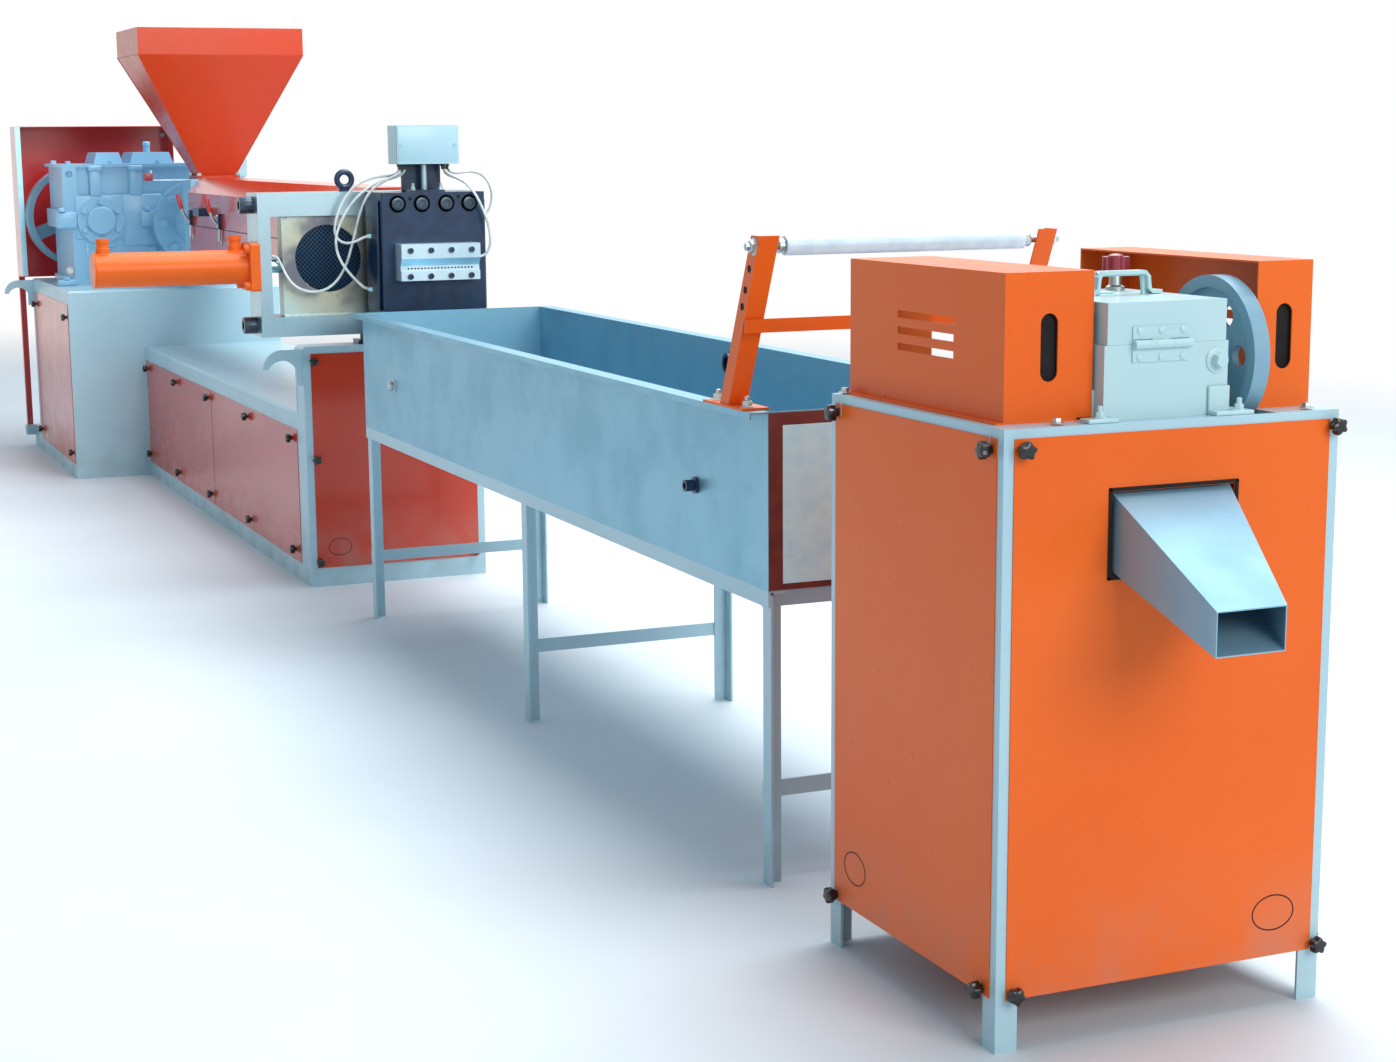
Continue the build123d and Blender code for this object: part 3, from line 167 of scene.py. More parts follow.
def tube(path, radius, around=14, ripple=0.0, pitch=6.0):
    """Round bar along a path, r = R (1 + ripple sin(2 pi s / pitch)), its rings square to the path."""
    path = np.asarray(path, float)
    ahead = np.gradient(path, axis=0)
    ahead /= np.linalg.norm(ahead, axis=1)[:, None]
    run = np.concatenate([[0], np.cumsum(np.linalg.norm(np.diff(path, axis=0), axis=1))])
    guide = np.array([0.31, 0.17, 0.94]) if abs(ahead[0, 2]) < 0.8 else np.array([0.94, 0.31, 0.17])
    side = np.cross(ahead, guide)
    side /= np.linalg.norm(side, axis=1)[:, None]
    other = np.cross(ahead, side)
    turn = np.arange(around) * 2 * np.pi / around
    reach = radius * (1 + ripple * np.sin(2 * np.pi * run / pitch))[:, None, None]
    ring = side[:, None] * np.cos(turn)[:, None] + other[:, None] * np.sin(turn)[:, None]
    return loft(path[:, None] + reach * ring)


def weld(start, end, radius=2.6):
    """Weld bead: a tube along a straight seam, r = R (1 + 0.16 sin(2 pi s / 5 mm))."""
    start, end = np.asarray(start, float), np.asarray(end, float)
    count = max(4, int(np.linalg.norm(end - start) / 1.6))
    return tube(start + np.linspace(0, 1, count)[:, None] * (end - start), radius, 7, 0.16, 5.0)


def join(*parts):
    """Several parts as one, the face numbers counted on."""
    points, faces, total = [], [], 0
    for part_points, part_faces in parts:
        points.append(part_points)
        faces += [[total + index for index in face] for face in part_faces]
        total += len(part_points)
    return np.concatenate(points), faces


def piece(name, part, look, body="line", angle=35):
    """Mesh object of a part given in millimetres, with its material, riding on a CAD body."""
    points, faces = part
    mesh = bpy.data.meshes.new(name)
    mesh.from_pydata((points * 0.001).tolist(), [], faces)
    mesh.shade_smooth()
    mesh.set_sharp_from_angle(angle=math.radians(angle))
    mesh.materials.append(look)
    made = bpy.data.objects.new(name, mesh)
    bpy.context.scene.collection.objects.link(made)
    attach(made, body)


dust = (0.62, 0.58, 0.54)
pale = enamel("pale_enamel", (0.69, 0.82, 0.86), (0.65, 0.78, 0.83), (0.55, 0.61, 0.62),
              0.36, 0.2)
base_paint = enamel("base_enamel", (0.80, 0.24, 0.13), (0.75, 0.20, 0.11), dust, 0.2, 0.3,
                    marks=0.1, shine=0.3)
dress(pale, "barrel_bed die_end_stand gearbox_pedestal pedestal_skid lifting_hooks")
dress(base_paint, "extruder_panels", 0.8)
bed_side, bed_top, stand_top = 300, 570, 780
base_welds = [weld((-1455, -bed_side, 20), (-1455, -bed_side, bed_top - 10)),
              weld((1355, -bed_side, bed_top), (1355, -bed_side, stand_top)),
              weld((1355, bed_side, bed_top), (1355, bed_side, stand_top)),
              weld((-1453, -296, 565), (-1453, 296, 565), 3)]
for hook_x in (1441, 1455.5):
    for hook_y in (-300.5, 300.5):
        base_welds.append(weld((hook_x, hook_y, 668), (hook_x, hook_y, stand_top - 2), 2.4))
piece("base_welds", join(*base_welds), pale, angle=80)

# Star knobs of the base: five-lobed black moulded plastic on studs. They hold the removable sheet panels
# of the bed, the stand and the pedestal, and are turned by hand to whatever angle they tighten at.


def copies(part, places, axis, spins=(0.0,)):
    """One part at many places: v -> place + M v, where M turns +Z to axis after a spin about it."""
    z = np.asarray(axis, float) / np.linalg.norm(axis)
    x = np.cross((0, 0, 1.0) if abs(z[2]) < 0.9 else (1.0, 0, 0), z)
    x /= np.linalg.norm(x)
    y = np.cross(z, x)
    made = []
    for index, place in enumerate(places):
        spin = spins[index % len(spins)]
        spun = np.stack([math.cos(spin) * x + math.sin(spin) * y,
                         math.cos(spin) * y - math.sin(spin) * x, z], 0)
        made.append((part[0] @ spun + np.asarray(place, float), part[1]))
    return join(*made)


def star_knob(radius, height, lobes=5):
    """Lobed knob: r = R (0.87 + 0.13 cos(lobes t)), rounded on top, on a short neck."""
    turn = np.arange(60) * 2 * np.pi / 60
    outline = radius * (0.87 + 0.13 * np.cos(lobes * turn))
    scale = np.array([0.5, 0.5, 0.9, 1.0, 1.0, 0.93, 0.72, 0.4])
    heights = np.array([0, 0.28, 0.3, 0.38, 0.8, 0.93, 1.0, 1.02]) * height
    rows = np.stack([scale[:, None] * outline * np.cos(turn), scale[:, None] * outline * np.sin(turn),
                     np.repeat(heights[:, None], 60, 1)], -1)
    return loft(rows)


def moulded(name, colour, deep, rough, grain=260.0, peel=0.06, coat=0.0, metallic=0.0):
    """Plastic, rubber or blackened steel: one body colour, faint cloud, fine grain."""
    made, shader, at = begin(name, metallic, coat)
    at.noise(26.0, 5.0).steps(0.35, 0.7).blend(tint(*colour), tint(*deep)).into(shader, "Base Color")
    (at.noise(40.0, 4.0) * 0.2 + (rough - 0.1)).into(shader, "Roughness")
    at.noise(grain, 3.0).bump(peel, 0.001).into(shader, "Normal")
    return made


knob_black = moulded("black_plastic", (0.06, 0.06, 0.07), (0.04, 0.04, 0.05), 0.3, 300.0,
                     0.05, 0.2)
knob = star_knob(15, 22)
bed_face, stand_face = 302, 1457
bed_knobs = [(x, -bed_face, z) for z in (474, 100) for x in (-1400, -754, -101, 590, 1270)]
piece("bed_knobs", copies(knob, bed_knobs, (0, -1, 0), (0.1, 0.9, 0.5)), knob_black)
piece("bed_knobs_far", copies(knob, [(x, bed_face, z) for x, _, z in bed_knobs], (0, 1, 0), (0.3, 0.8)),
      knob_black)
stand_knobs = [(stand_face, y, z) for y in (-268, 262) for z in (740, 420, 82)]
piece("stand_knobs", copies(knob, stand_knobs, (1, 0, 0), (0.2, 0.6)), knob_black)
pedestal_knobs = [(x, -620, z) for x in (-2480, -1520) for z in (110, 700)]
piece("pedestal_knobs", copies(knob, pedestal_knobs, (0, -1, 0), (0.2, 0.7)), knob_black)

# Main pulley and belt guard: cast spoked wheel in grey-blue paint, in a folded red sheet guard that
# stands on two legs. The guard's edge still has its white film, and zinc-plated bolts hold the legs.


def moved(part, offset):
    """The same part shifted by offset."""
    return part[0] + np.asarray(offset, float), part[1]


def lathe(profile, around=28):
    """Turned surface: (r cos t, r sin t, h) for each (r, h) of the profile."""
    profile = np.asarray(profile, float)
    turn = np.arange(around) * 2 * np.pi / around
    rows = np.stack([profile[:, :1] * np.cos(turn), profile[:, :1] * np.sin(turn),
                     np.repeat(profile[:, 1:], around, 1)], -1)
    return loft(rows)


def soft_box(size_x, size_y, size_z, edge=2.0, steps=3):
    """Box with rounded edges on z = 0: rounded rectangles inset by edge (1 - cos a) at edge sin a."""
    turn = np.arange(4 * (steps + 1))
    quarter, step = turn // (steps + 1), turn % (steps + 1)
    angle = (quarter + step / steps) * np.pi / 2
    sign_x = np.where((quarter == 0) | (quarter == 3), 1, -1)
    sign_y = np.where(quarter < 2, 1, -1)
    rise = np.linspace(0, np.pi / 2, steps + 1)
    heights = np.concatenate([edge * (1 - np.sin(rise[::-1])), size_z - edge * (1 - np.sin(rise))])
    insets = edge * np.concatenate([1 - np.cos(rise[::-1]), 1 - np.cos(rise)])
    x = sign_x * (size_x / 2 - edge) + (edge - insets[:, None]) * np.cos(angle)
    y = sign_y * (size_y / 2 - edge) + (edge - insets[:, None]) * np.sin(angle)
    return loft(np.stack([x, y, np.repeat(heights[:, None], len(turn), 1)], -1))


def slab(low, high, edge=1.5):
    """Soft box between two corners in millimetres, its edges no wider than the thinnest side allows."""
    low, high = np.asarray(low, float), np.asarray(high, float)
    size = high - low
    middle = (low + high) / 2
    return moved(soft_box(*size, edge=min(edge, size.min() / 2.2)), (middle[0], middle[1], low[2]))


def hex_head(flat, height, washer=0.0):
    """Hexagon, corners at flat / sqrt(3), cut to 0.86 on top; with a washer of washer x flat below it."""
    turn = np.arange(6) * np.pi / 3
    scale = np.array([1, 1, 0.86]) * flat / math.sqrt(3)
    rows = np.stack([scale[:, None] * np.cos(turn), scale[:, None] * np.sin(turn),
                     np.repeat(np.array([[0.0], [0.78], [1.0]]) * height, 6, 1)], -1)
    head = loft(rows)
    if not washer:
        return head
    radius = washer * flat / 2
    thick = 0.18 * height
    return join(moved(head, (0, 0, thick)),
                lathe([(radius, 0), (radius, thick * 0.8), (radius * 0.96, thick)]))


def bare(name, colour, deep, rough, stretch, grain=160.0, cut=0.16, stain=(0.30, 0.24, 0.18),
         stained=0.18, metallic=1.0):
    """Bare metal: fine cut lines along one axis, cloudy oxide and a few darker stains."""
    made, shader, at = begin(name, metallic)
    lines = at.noise(grain, 3.0, stretch)
    cloud = at.noise(6.0, 5.0).steps(0.35, 0.7)
    spot = at.noise(17.0, 6.0).steps(0.6, 0.75) * stained
    spot.blend(cloud.blend(tint(*colour), tint(*deep)), tint(*stain)).into(shader, "Base Color")
    (lines * 0.18 + cloud * 0.08 + spot * 0.4 + (rough - 0.1)).into(shader, "Roughness")
    lines.bump(cut, 0.0006).into(shader, "Normal")
    return made


red = enamel("red_enamel", (0.90, 0.23, 0.22), (0.82, 0.19, 0.19), dust, 0.2, 0.5, marks=0.15)
wheel_paint = enamel("wheel_enamel", (0.50, 0.66, 0.74), (0.43, 0.58, 0.66), dust, 0.4,
                     0.15, 0.2, 90.0)
film = moulded("white_film", (0.80, 0.98, 1.0), (0.74, 0.94, 1.0), 0.3, 24.0, 0.5, 0.2)
zinc = bare("zinc_bolts", (0.76, 0.79, 0.79), (0.64, 0.67, 0.68), 0.34, (1, 1, 1), 300.0,
            0.1)
dress(red, "belt_guard belt_guard_legs")
dress(wheel_paint, "main_pulley")
piece("guard_flange", slab((-2612, -657, 824), (-2608, -632, 1519), 1.2), film)
guard_bolts = [(-2775, y, z) for y in (-642, 64) for z in (860, 1480)]
piece("guard_bolts", copies(hex_head(17, 9, 1.5), guard_bolts, (1, 0, 0)), zinc)

# Gearbox: lower and upper iron castings with their bosses, ribs and lugs, under light grey-blue paint.
# Bolts draw the split flange together, six screws hold the bearing cap and eight the thrust housing.
cast_paint = enamel("cast_enamel", (0.59, 0.80, 0.91), (0.54, 0.75, 0.87),
                    (0.40, 0.48, 0.50), 0.38, 0.3, 0.32, 75.0)
housing_paint = enamel("housing_enamel", (0.74, 0.85, 0.86), (0.70, 0.82, 0.84), dust, 0.36,
                       0.2, 0.1, 240.0)
# This near-black colour serves real seams, cut lines, the lid gasket and the chute lip, and is also painted
# shade in holes, counterbores and behind the guard slots.
near_black_and_shade = moulded("dark_gap_and_painted_shade", (0.035, 0.02, 0.03), (0.02, 0.01, 0.02), 0.9)
dress(cast_paint, "gearbox_lower gearbox_upper", 4.0)
dress(cast_paint, "bearing_cap", 2.0)
dress(cast_paint, "thrust_housing feed_throat")
front = -1875.0
split, cover_top, foot_top = 1142, 1350, 842
case = [slab((front - 6, -506, 1019), (front + 7, -293, 1212), 9),
        slab((front - 6, -300, 985), (front + 9, -120, 1216), 9),
        slab((front - 6, -461, 978), (front + 5, -334, 1030), 8),
        slab((front - 20, -590, 1068), (front + 24, -500, split), 9),
        slab((front - 20, -223, 1068), (front + 30, -160, split), 9),
        slab((front - 20, 196, 1068), (front + 24, 268, split), 9),
        slab((front - 12, -598, 815), (front + 26, -520, foot_top), 7),
        slab((front - 12, 200, 815), (front + 26, 300, foot_top), 7)]
for rib_y in (-470, -175, 60):
    case.append(slab((front - 10, rib_y, 850), (front + 4, rib_y + 22, 1000), 5))
for rib_low, rib_high in ((-438, -388), (-262, -208)):
    case += [slab((front - 10, rib_low, 1208), (front + 14, rib_high, 1330), 8),
             slab((front - 10, rib_low - 6, 1318), (front + 22, rib_high + 6, 1344), 8)]
piece("gearbox_bosses", join(*case), cast_paint)
axis_z = 1085
cap_y, cap_z, cap_circle, thrust_circle = -398, 1101, 83, 146
cap_turns = np.radians([90, 30, -30, -90, -150, 150])
cap_bolts = [(-1853, cap_y + cap_circle * math.cos(a), cap_z + cap_circle * math.sin(a)) for a in cap_turns]
thrust_turns = np.radians(np.arange(8) * 45 + 180)
thrust_bolts = [(-1725, thrust_circle * math.cos(a), axis_z + thrust_circle * math.sin(a))
                for a in thrust_turns]
piece("gearbox_screws", join(copies(hex_head(24, 12, 1.25), cap_bolts, (1, 0, 0), (0.2, 0.7, 1.1)),
                             copies(hex_head(36, 20, 1.2), thrust_bolts, (1, 0, 0), (0.1, 0.6, 0.9))),
      cast_paint)
split_bolts = [(-1863, -566, split), (-1861, -192, split), (-1863, 250, split)]
foot_bolts = [(-1862, -560, foot_top), (-1862, 250, foot_top)]
top_bolts = [(x, y, cover_top) for x in (-1925, -2375) for y in (-520, -330, -120, 100, 225)]
piece("gearbox_flange_bolts", join(*[copies(hex_head(30, 16, 1.3), [bolt], (0, 0, 1))
                                     for bolt in split_bolts],
                                   *[copies(hex_head(26, 12, 1.3), [bolt], (0, 0, 1), (0.4,))
                                     for bolt in foot_bolts],
                                   copies(hex_head(22, 12, 1.3), top_bolts, (0, 0, 1), (0.3, 0.9))),
      cast_paint)
breather = join(lathe([(16, 0), (16, 10), (13, 12)]), moved(hex_head(26, 12), (0, 0, 12)),
                moved(lathe([(15, 0), (17, 3), (17, 18), (12, 24)]), (0, 0, 24)))
piece("gearbox_breather", copies(breather, [(-2150, -130, 1400)], (0, 0, 1)), cast_paint)
lug_turn = np.linspace(0, np.pi, 19)
lug_y, lug_z, lug_radius, lug_foot = 235.5, 1352, 35.5, 1290
lug_edge = np.concatenate([np.stack([lug_y + lug_radius * np.cos(lug_turn),
                                     lug_z + lug_radius * np.sin(lug_turn)], 1),
                           [(lug_y - lug_radius, lug_foot), (lug_y + lug_radius, lug_foot)]])
lug = loft([np.column_stack([np.full(len(lug_edge), x), lug_edge]) for x in (front - 8, front + 6)])
piece("gearbox_lug", join(lug, slab((front - 30, 205, 1284), (front + 2, 266, 1300), 4)), housing_paint)
# The lug's hole is a near-black disc: painted shade inside the hole.
piece("gearbox_lug_hole", copies(lathe([(14, 0), (14, 0.8), (4, 0.8)], 24), [(front + 6, 236, 1347)],
                                 (1, 0, 0)), near_black_and_shade)
oil_sight = lathe([(22, 0), (22, 8), (15, 8), (15, 5)])
piece("oil_sight_and_drain", join(copies(oil_sight, [(front - 14, 150, 930)], (1, 0, 0)),
                                  copies(hex_head(28, 14, 1.25), [(front - 14, -540, 880)], (1, 0, 0))), zinc)

# Barrel and hood: steel barrel on a black support, in a red hood folded in two halves. The latches are
# plated toggle levers with red plastic grips and are riveted to the halves, like the black pull handle.


def socket_head(radius, height):
    """Cap screw: a cylinder with a bevelled rim and a blind socket half as deep."""
    return lathe([(radius, 0), (radius, height * 0.9), (radius * 0.92, height), (radius * 0.55, height),
                  (radius * 0.5, height * 0.45)], 24)


steel = bare("ground_steel", (0.65, 0.76, 0.80), (0.59, 0.70, 0.74), 0.3, (1, 9, 0.4),
             cut=0.08, stained=0.02)
# Dark blue-black: blackened steel, and on the terminal stand painted shade with a painted blue reflection.
black = moulded("black_oxide_and_painted_shade", (0.03, 0.18, 0.30), (0.02, 0.13, 0.24), 0.36, 180.0, 0.12,
                0.25, 0.3)
hood_paint = enamel("hood_enamel", (0.86, 0.26, 0.15), (0.80, 0.22, 0.14), (0.80, 0.66, 0.64),
                    0.18, 0.5)
knob_red = moulded("red_plastic", (0.72, 0.09, 0.10), (0.62, 0.06, 0.08), 0.28, 300.0, 0.04, 0.3)
dress(steel, "barrel")
dress(black, "barrel_support hood_latches")
dress(hood_paint, "hood_upper hood_lower")
hood_face = -135
for index, latch_x in enumerate((-1130, -545)):
    base = latch_x + 13
    lever = [(base, -152, 1118), (base + 4, -168, 1140), (base + 2, -178, 1168)]
    grip = [(base + 2, -178, 1166), (base, -184, 1188), (base - 4, -190, 1222), (base - 5, -191, 1226)]
    piece("latch_grip_%d" % index, tube(grip, 9, 16), knob_red)
    link = [(base - 9, -142, 1112), (base - 9, -144, 1080), (base - 9, -146, 1050)]
    piece("latch_lever_%d" % index,
          join(tube(lever, 6), tube(link, 3.5), tube(np.array(link) + (18, 0, 0), 3.5),
               slab((base - 15, -139, 1038), (base + 15, hood_face, 1062)),
               slab((base - 16, -152, 1104), (base + 16, -149, 1124)),
               copies(socket_head(4, 4), [(base - 8, -149, 1150), (base + 8, -149, 1150)], (0, -1, 0))), zinc)
piece("hood_seam", slab((-1184, hood_face - 1.5, 1095), (1478, hood_face, 1098), 0.6), near_black_and_shade)
hood_screws = [(x, hood_face, z) for x in np.linspace(-1100, 1400, 6) for z in (1000, 1190)]
piece("hood_screws", copies(socket_head(5, 4), hood_screws, (0, -1, 0)), zinc)

# Hopper: folded sheet in orange-red enamel, with weld seams on the fold and the four corners, and bolts
# in its foot flange. The steel slide gate ends in a bent pull tab with a red plastic cap.
hopper_paint = enamel("hopper_enamel", (0.81, 0.23, 0.07), (0.78, 0.25, 0.10), dust, 0.27,
                      0.12, marks=0.05, shine=0.3)
knob_rose = moulded("rose_plastic", (0.62, 0.19, 0.24), (0.55, 0.14, 0.20), 0.35, 300.0, 0.04,
                    0.2)
dress(hopper_paint, "hopper hopper_rim", 1.2)
dress(steel, "hopper_gate")
hopper_x, fold_x, fold_y, fold_z, foot_half, foot_z = -1280, 252, 344, 1800, 75, 1302
corners = [(sx, sy) for sx in (-1, 1) for sy in (-1, 1)]
seams = [weld((hopper_x - fold_x, sy * fold_y, fold_z), (hopper_x + fold_x, sy * fold_y, fold_z), 1.6)
         for sy in (-1, 1)]
seams += [weld((hopper_x + sx * foot_half, sy * foot_half, foot_z),
               (hopper_x + sx * fold_x, sy * fold_y, fold_z), 1.8) for sx, sy in corners]
piece("hopper_seams", join(*seams), hopper_paint, angle=80)
bolt_half = 82
piece("hopper_foot_bolts", join(*[copies(hex_head(17, 9, 1.5),
                                         [(hopper_x + sx * bolt_half, sy * bolt_half, foot_z)],
                                         (0, 0, 1), (0.5,)) for sx, sy in corners]), zinc)
piece("gate_tab", slab((-1304, -301, 1282), (-1256, -266, 1314), 4), knob_rose, "hopper_shutter")

# Hydraulic cylinder: welded ports with a turned step, four tie screws in the square flange and a gland
# ring, all sprayed orange together with the barrel.
orange = enamel("orange_enamel", (0.94, 0.42, 0.15), (0.92, 0.39, 0.12), dust, 0.3, 0.05,
                marks=0.05, shine=0.18)
dress(orange, "hydraulic_cylinder")
ram_x, ram_z, port_z, tie_half = 1720, 1065, 1105, 56
port = lathe([(25, 0), (25, 8), (21, 11), (21, 26), (18, 28), (18, 40), (20, 42), (20, 54), (11, 54),
              (11, 40)], 24)
piece("cylinder_ports", copies(port, [(ram_x, -958, port_z), (ram_x, -562, port_z)], (0, 0, 1)), orange)
tie_screws = [(ram_x + sx * tie_half, -530, ram_z + sz * tie_half) for sx, sz in corners]
piece("cylinder_screws", copies(socket_head(13, 17), tie_screws, (0, -1, 0)), orange)
piece("cylinder_gland", copies(lathe([(54, 0), (54, 6), (50, 8), (50, 9)], 40), [(ram_x, -980, ram_z)],
                               (0, -1, 0)), orange)
piece("cylinder_end_plug", copies(socket_head(15, 4), [(ram_x, -985.5, ram_z)], (0, -1, 0)), orange)

# Screen changer: body and frame of ground steel bars, drawn together by large blued cap screws, with a
# lifting eye on top.
screw_black = moulded("blued_screws", (0.22, 0.29, 0.35), (0.16, 0.22, 0.28), 0.3, 180.0,
                      0.08, 0.2, 0.5)
dress(steel, "changer_body changer_frame slide_ram")
dress(black, "lifting_eye")
piece("frame_screws", copies(socket_head(26, 41), [(1700, -500, 1250), (1700, -500, 884)], (0, -1, 0)),
      screw_black)

# Slide plate: hot-rolled steel that the melt has tinted, straw and blue-brown round the bore, with
# straight grinding marks and spots of burnt oil.
plate, plate_shader, plate_at = begin("slide_steel", 1.0)
across, upward = plate_at.part("Y") + 0.28, plate_at.part("Z") - axis_z * 0.001
cloudy = plate_at.noise(9.0, 5.0) - 0.5
reach = across * across + upward * upward + cloudy * 0.016
heat = reach.steps(0.034, 0.014) * plate_at.noise(6.0, 3.0).steps(0.36, 0.58)
straw = reach.steps(0.05, 0.012)
tinted = straw.blend(tint(0.71, 0.80, 0.79), tint(0.68, 0.69, 0.61))
tinted = heat.blend(tinted, tint(0.42, 0.43, 0.47))
burnt = plate_at.noise(30.0, 6.0).steps(0.62, 0.78, 0.0, 0.7)
burnt.blend(tinted, tint(0.46, 0.33, 0.20)).into(plate_shader, "Base Color")
ground = plate_at.noise(120.0, 3.0, (1, 0.4, 8))
(ground * 0.2 + heat * 0.08 + 0.26).into(plate_shader, "Roughness")
ground.bump(0.14, 0.0006).into(plate_shader, "Normal")
dress(plate, "slide_plate")

# Screens: a perforated plate sits flush in each bore of the slide, steel blackened by burnt plastic. Its
# holes are a close grid of darker dots, turned by 45 degrees in the slide's own plane.
screen, screen_shader, screen_at = begin("screen_mesh", 0.1)
screen_shader.inputs["Specular IOR Level"].default_value = 0.2
turned_at = screen_at.node("VectorRotate", 0, {"Vector": screen_at, "Axis": (1, 0, 0), "Angle": math.pi / 4})
dots = screen_at.node("TexVoronoi", "Distance", {"Vector": turned_at, "Scale": 104.0, "Randomness": 0.0})
# The near-black dots are painted shade inside the screen's holes.
holes = dots.steps(0.30, 0.46)
holes.blend(tint(0.02, 0.04, 0.07), tint(0.09, 0.24, 0.35)).into(screen_shader, "Base Color")
(holes * -0.35 + 0.8).into(screen_shader, "Roughness")
holes.bump(0.5, 0.002).into(screen_shader, "Normal")
dress(screen, "breaker_plates", 0)
piece("slide_screens", copies(lathe([(102.5, 0), (102.5, 1), (101.5, 1.4)], 56),
                              [(1749, y, axis_z) for y in (-280, 0)], (1, 0, 0)), screen, "screen_slide")

# Die block and strand die: blackened steel block with four deep cap screws and two thermocouple holes
# above, and the ground die with two rows of cap screws round its row of twenty holes. Small nuts hold
# the terminal stand on the block.
die_steel = bare("die_steel", (0.74, 0.83, 0.87), (0.67, 0.76, 0.81), 0.46, (1, 9, 0.4),
                 cut=0.08, stained=0.02)
dress(black, "die_block")
dress(die_steel, "strand_die", 0)
block_face, block_side = 1955, 164
block_places = [(block_face, y, 1252) for y in (-112, -36, 41, 114)]
probe_places = [(block_face, -73, 1267), (block_face, 80, 1272)]
# The near-black rings round the block screws and the discs in the thermocouple holes are painted shade inside
# these recesses.
piece("block_counterbores", join(copies(lathe([(27, 0), (27, 0.5), (24.5, 0.5), (24.5, 0)], 40), block_places,
                                        (1, 0, 0)),
                                 copies(lathe([(6, 0), (6, 0.6), (2, 0.6)], 16), probe_places, (1, 0, 0))),
      near_black_and_shade)
piece("block_screws", copies(socket_head(19, 5), block_places, (1, 0, 0)), screw_black)
piece("die_screws", join(*[copies(socket_head(9, tall), [(x, y, z) for y in (-96, -32, 32, 96)], (1, 0, 0))
                           for tall, x, z in ((6, 2025, 1114), (7, 2017, 1036))]), screw_black)
stud_nut = join(hex_head(13, 8, 1.6), moved(lathe([(4.5, 0), (4.5, 12), (3.5, 13)], 12), (0, 0, 9)))
piece("stand_nuts", join(copies(stud_nut, [(1892, y, 1291) for y in (-44, 44)], (0, 0, 1), (0.3, 0.8)),
                         copies(lathe([(8, 0), (8, 76)], 24), [(1865, 0, 1292)], (0, 0, 1))), steel)
# The twenty die holes are near-black discs: painted shade inside the holes.
piece("strand_holes", copies(lathe([(2.7, 0), (2.7, 0.4), (0.8, 0.4)], 12),
                             [(2010.2, -100 + 200 * i / 19, 1059.7) for i in range(20)], (1, 0, 0)), near_black_and_shade)
piece("heater_plates", join(slab((1800, -block_side - 8, 930), (1930, -block_side, 1262), 2),
                            slab((1800, block_side, 930), (1930, block_side + 8, 1262), 2)), black)
piece("heater_terminals", copies(lathe([(7, 0), (7, 12), (5, 15), (5, 19)], 18),
                                 [(1856, -165, 1154), (1853, -165, 992)], (0, -1, 0)), film)

# Terminal box: folded sheet, pale enamel, on a stand over the die block. Its front is a lid with a seam
# and two screws, and five black cable glands are screwed into its bottom.
dress(pale, "terminal_box")
# The stand's plates are steel in shade; the dark blue on them is painted shade with a painted sky reflection.
dress(black, "terminal_stand")
box_bottom = 1370
piece("terminal_lid", join(slab((1815, -96, box_bottom), (1917, 96, box_bottom + 4), 1),
                           slab((1914.5, -94, 1374), (1916.5, 94, 1482), 0.8),
                           copies(socket_head(5, 3), [(1916, y, 1428) for y in (-85, 85)], (1, 0, 0))), pale)
piece("terminal_seam", slab((1911, -98.2, 1373), (1913, -97.4, 1483), 0.3), near_black_and_shade)
gland = join(hex_head(16, 8), moved(lathe([(6.5, 0), (6.5, 8), (5, 9)], 16), (0, 0, 8)))
gland_places = [(x, y, box_bottom)
                for x, y in ((1842, -70), (1872, -60), (1900, -84), (1870, 60), (1840, 80))]
piece("terminal_glands", copies(gland, gland_places, (0, 0, -1)), knob_black)

# Heater wires: five bundles of thin leads in a white sleeve, from the terminal box to the heaters of the
# die block, the die and the changer. They hang by their own weight and follow the CAD routes.
sleeve = moulded("white_sleeve", (0.88, 0.90, 0.89), (0.76, 0.79, 0.78), 0.7, 900.0, 0.5)
wire_routes = {
    "wire_block_upper": [
        (1842, -70, 1370), (1842, -70, 1348), (1840, -92, 1334), (1836, -122, 1334), (1831, -152, 1330),
        (1827, -182, 1320), (1823, -212, 1302), (1820, -238, 1272), (1818, -258, 1235), (1820, -272, 1196),
        (1826, -277, 1162), (1836, -264, 1138), (1848, -238, 1132), (1854, -212, 1141),
        (1856, -188, 1154), (1856, -163, 1154)],
    "wire_block_lower": [
        (1872, -60, 1370), (1872, -60, 1350), (1870, -80, 1334), (1866, -110, 1326), (1860, -144, 1317),
        (1855, -176, 1300), (1850, -208, 1274), (1846, -238, 1238), (1843, -262, 1196), (1842, -278, 1152),
        (1843, -277, 1112), (1846, -264, 1076), (1850, -242, 1044), (1852, -215, 1014),
        (1853, -190, 992), (1853, -163, 992)],
    "wire_changer_side": [
        (1900, -84, 1370), (1900, -84, 1350), (1898, -104, 1334), (1890, -134, 1320), (1878, -165, 1300),
        (1866, -189, 1266), (1854, -205, 1220), (1842, -216, 1168), (1832, -228, 1116), (1824, -242, 1068),
        (1818, -266, 1024), (1814, -300, 994), (1808, -344, 984), (1800, -386, 996),
        (1790, -406, 1014), (1776, -418, 1036), (1762, -426, 1060), (1749, -432, 1080), (1742, -440, 1096),
        (1742, -462, 1096)],
    "wire_die_right": [
        (1870, 60, 1370), (1870, 60, 1352), (1884, 68, 1336), (1916, 86, 1328), (1948, 106, 1314),
        (1972, 126, 1284), (1982, 144, 1244), (1986, 160, 1202), (1984, 170, 1160), (1979, 172, 1124),
        (1972, 162, 1098), (1968, 144, 1088), (1968, 124, 1088)],
    "wire_block_right": [
        (1840, 80, 1370), (1840, 80, 1352), (1840, 104, 1340), (1841, 134, 1344), (1843, 164, 1346),
        (1847, 192, 1336), (1850, 213, 1312), (1852, 222, 1280), (1850, 220, 1246), (1846, 208, 1218),
        (1842, 188, 1204), (1842, 163, 1204)],
}
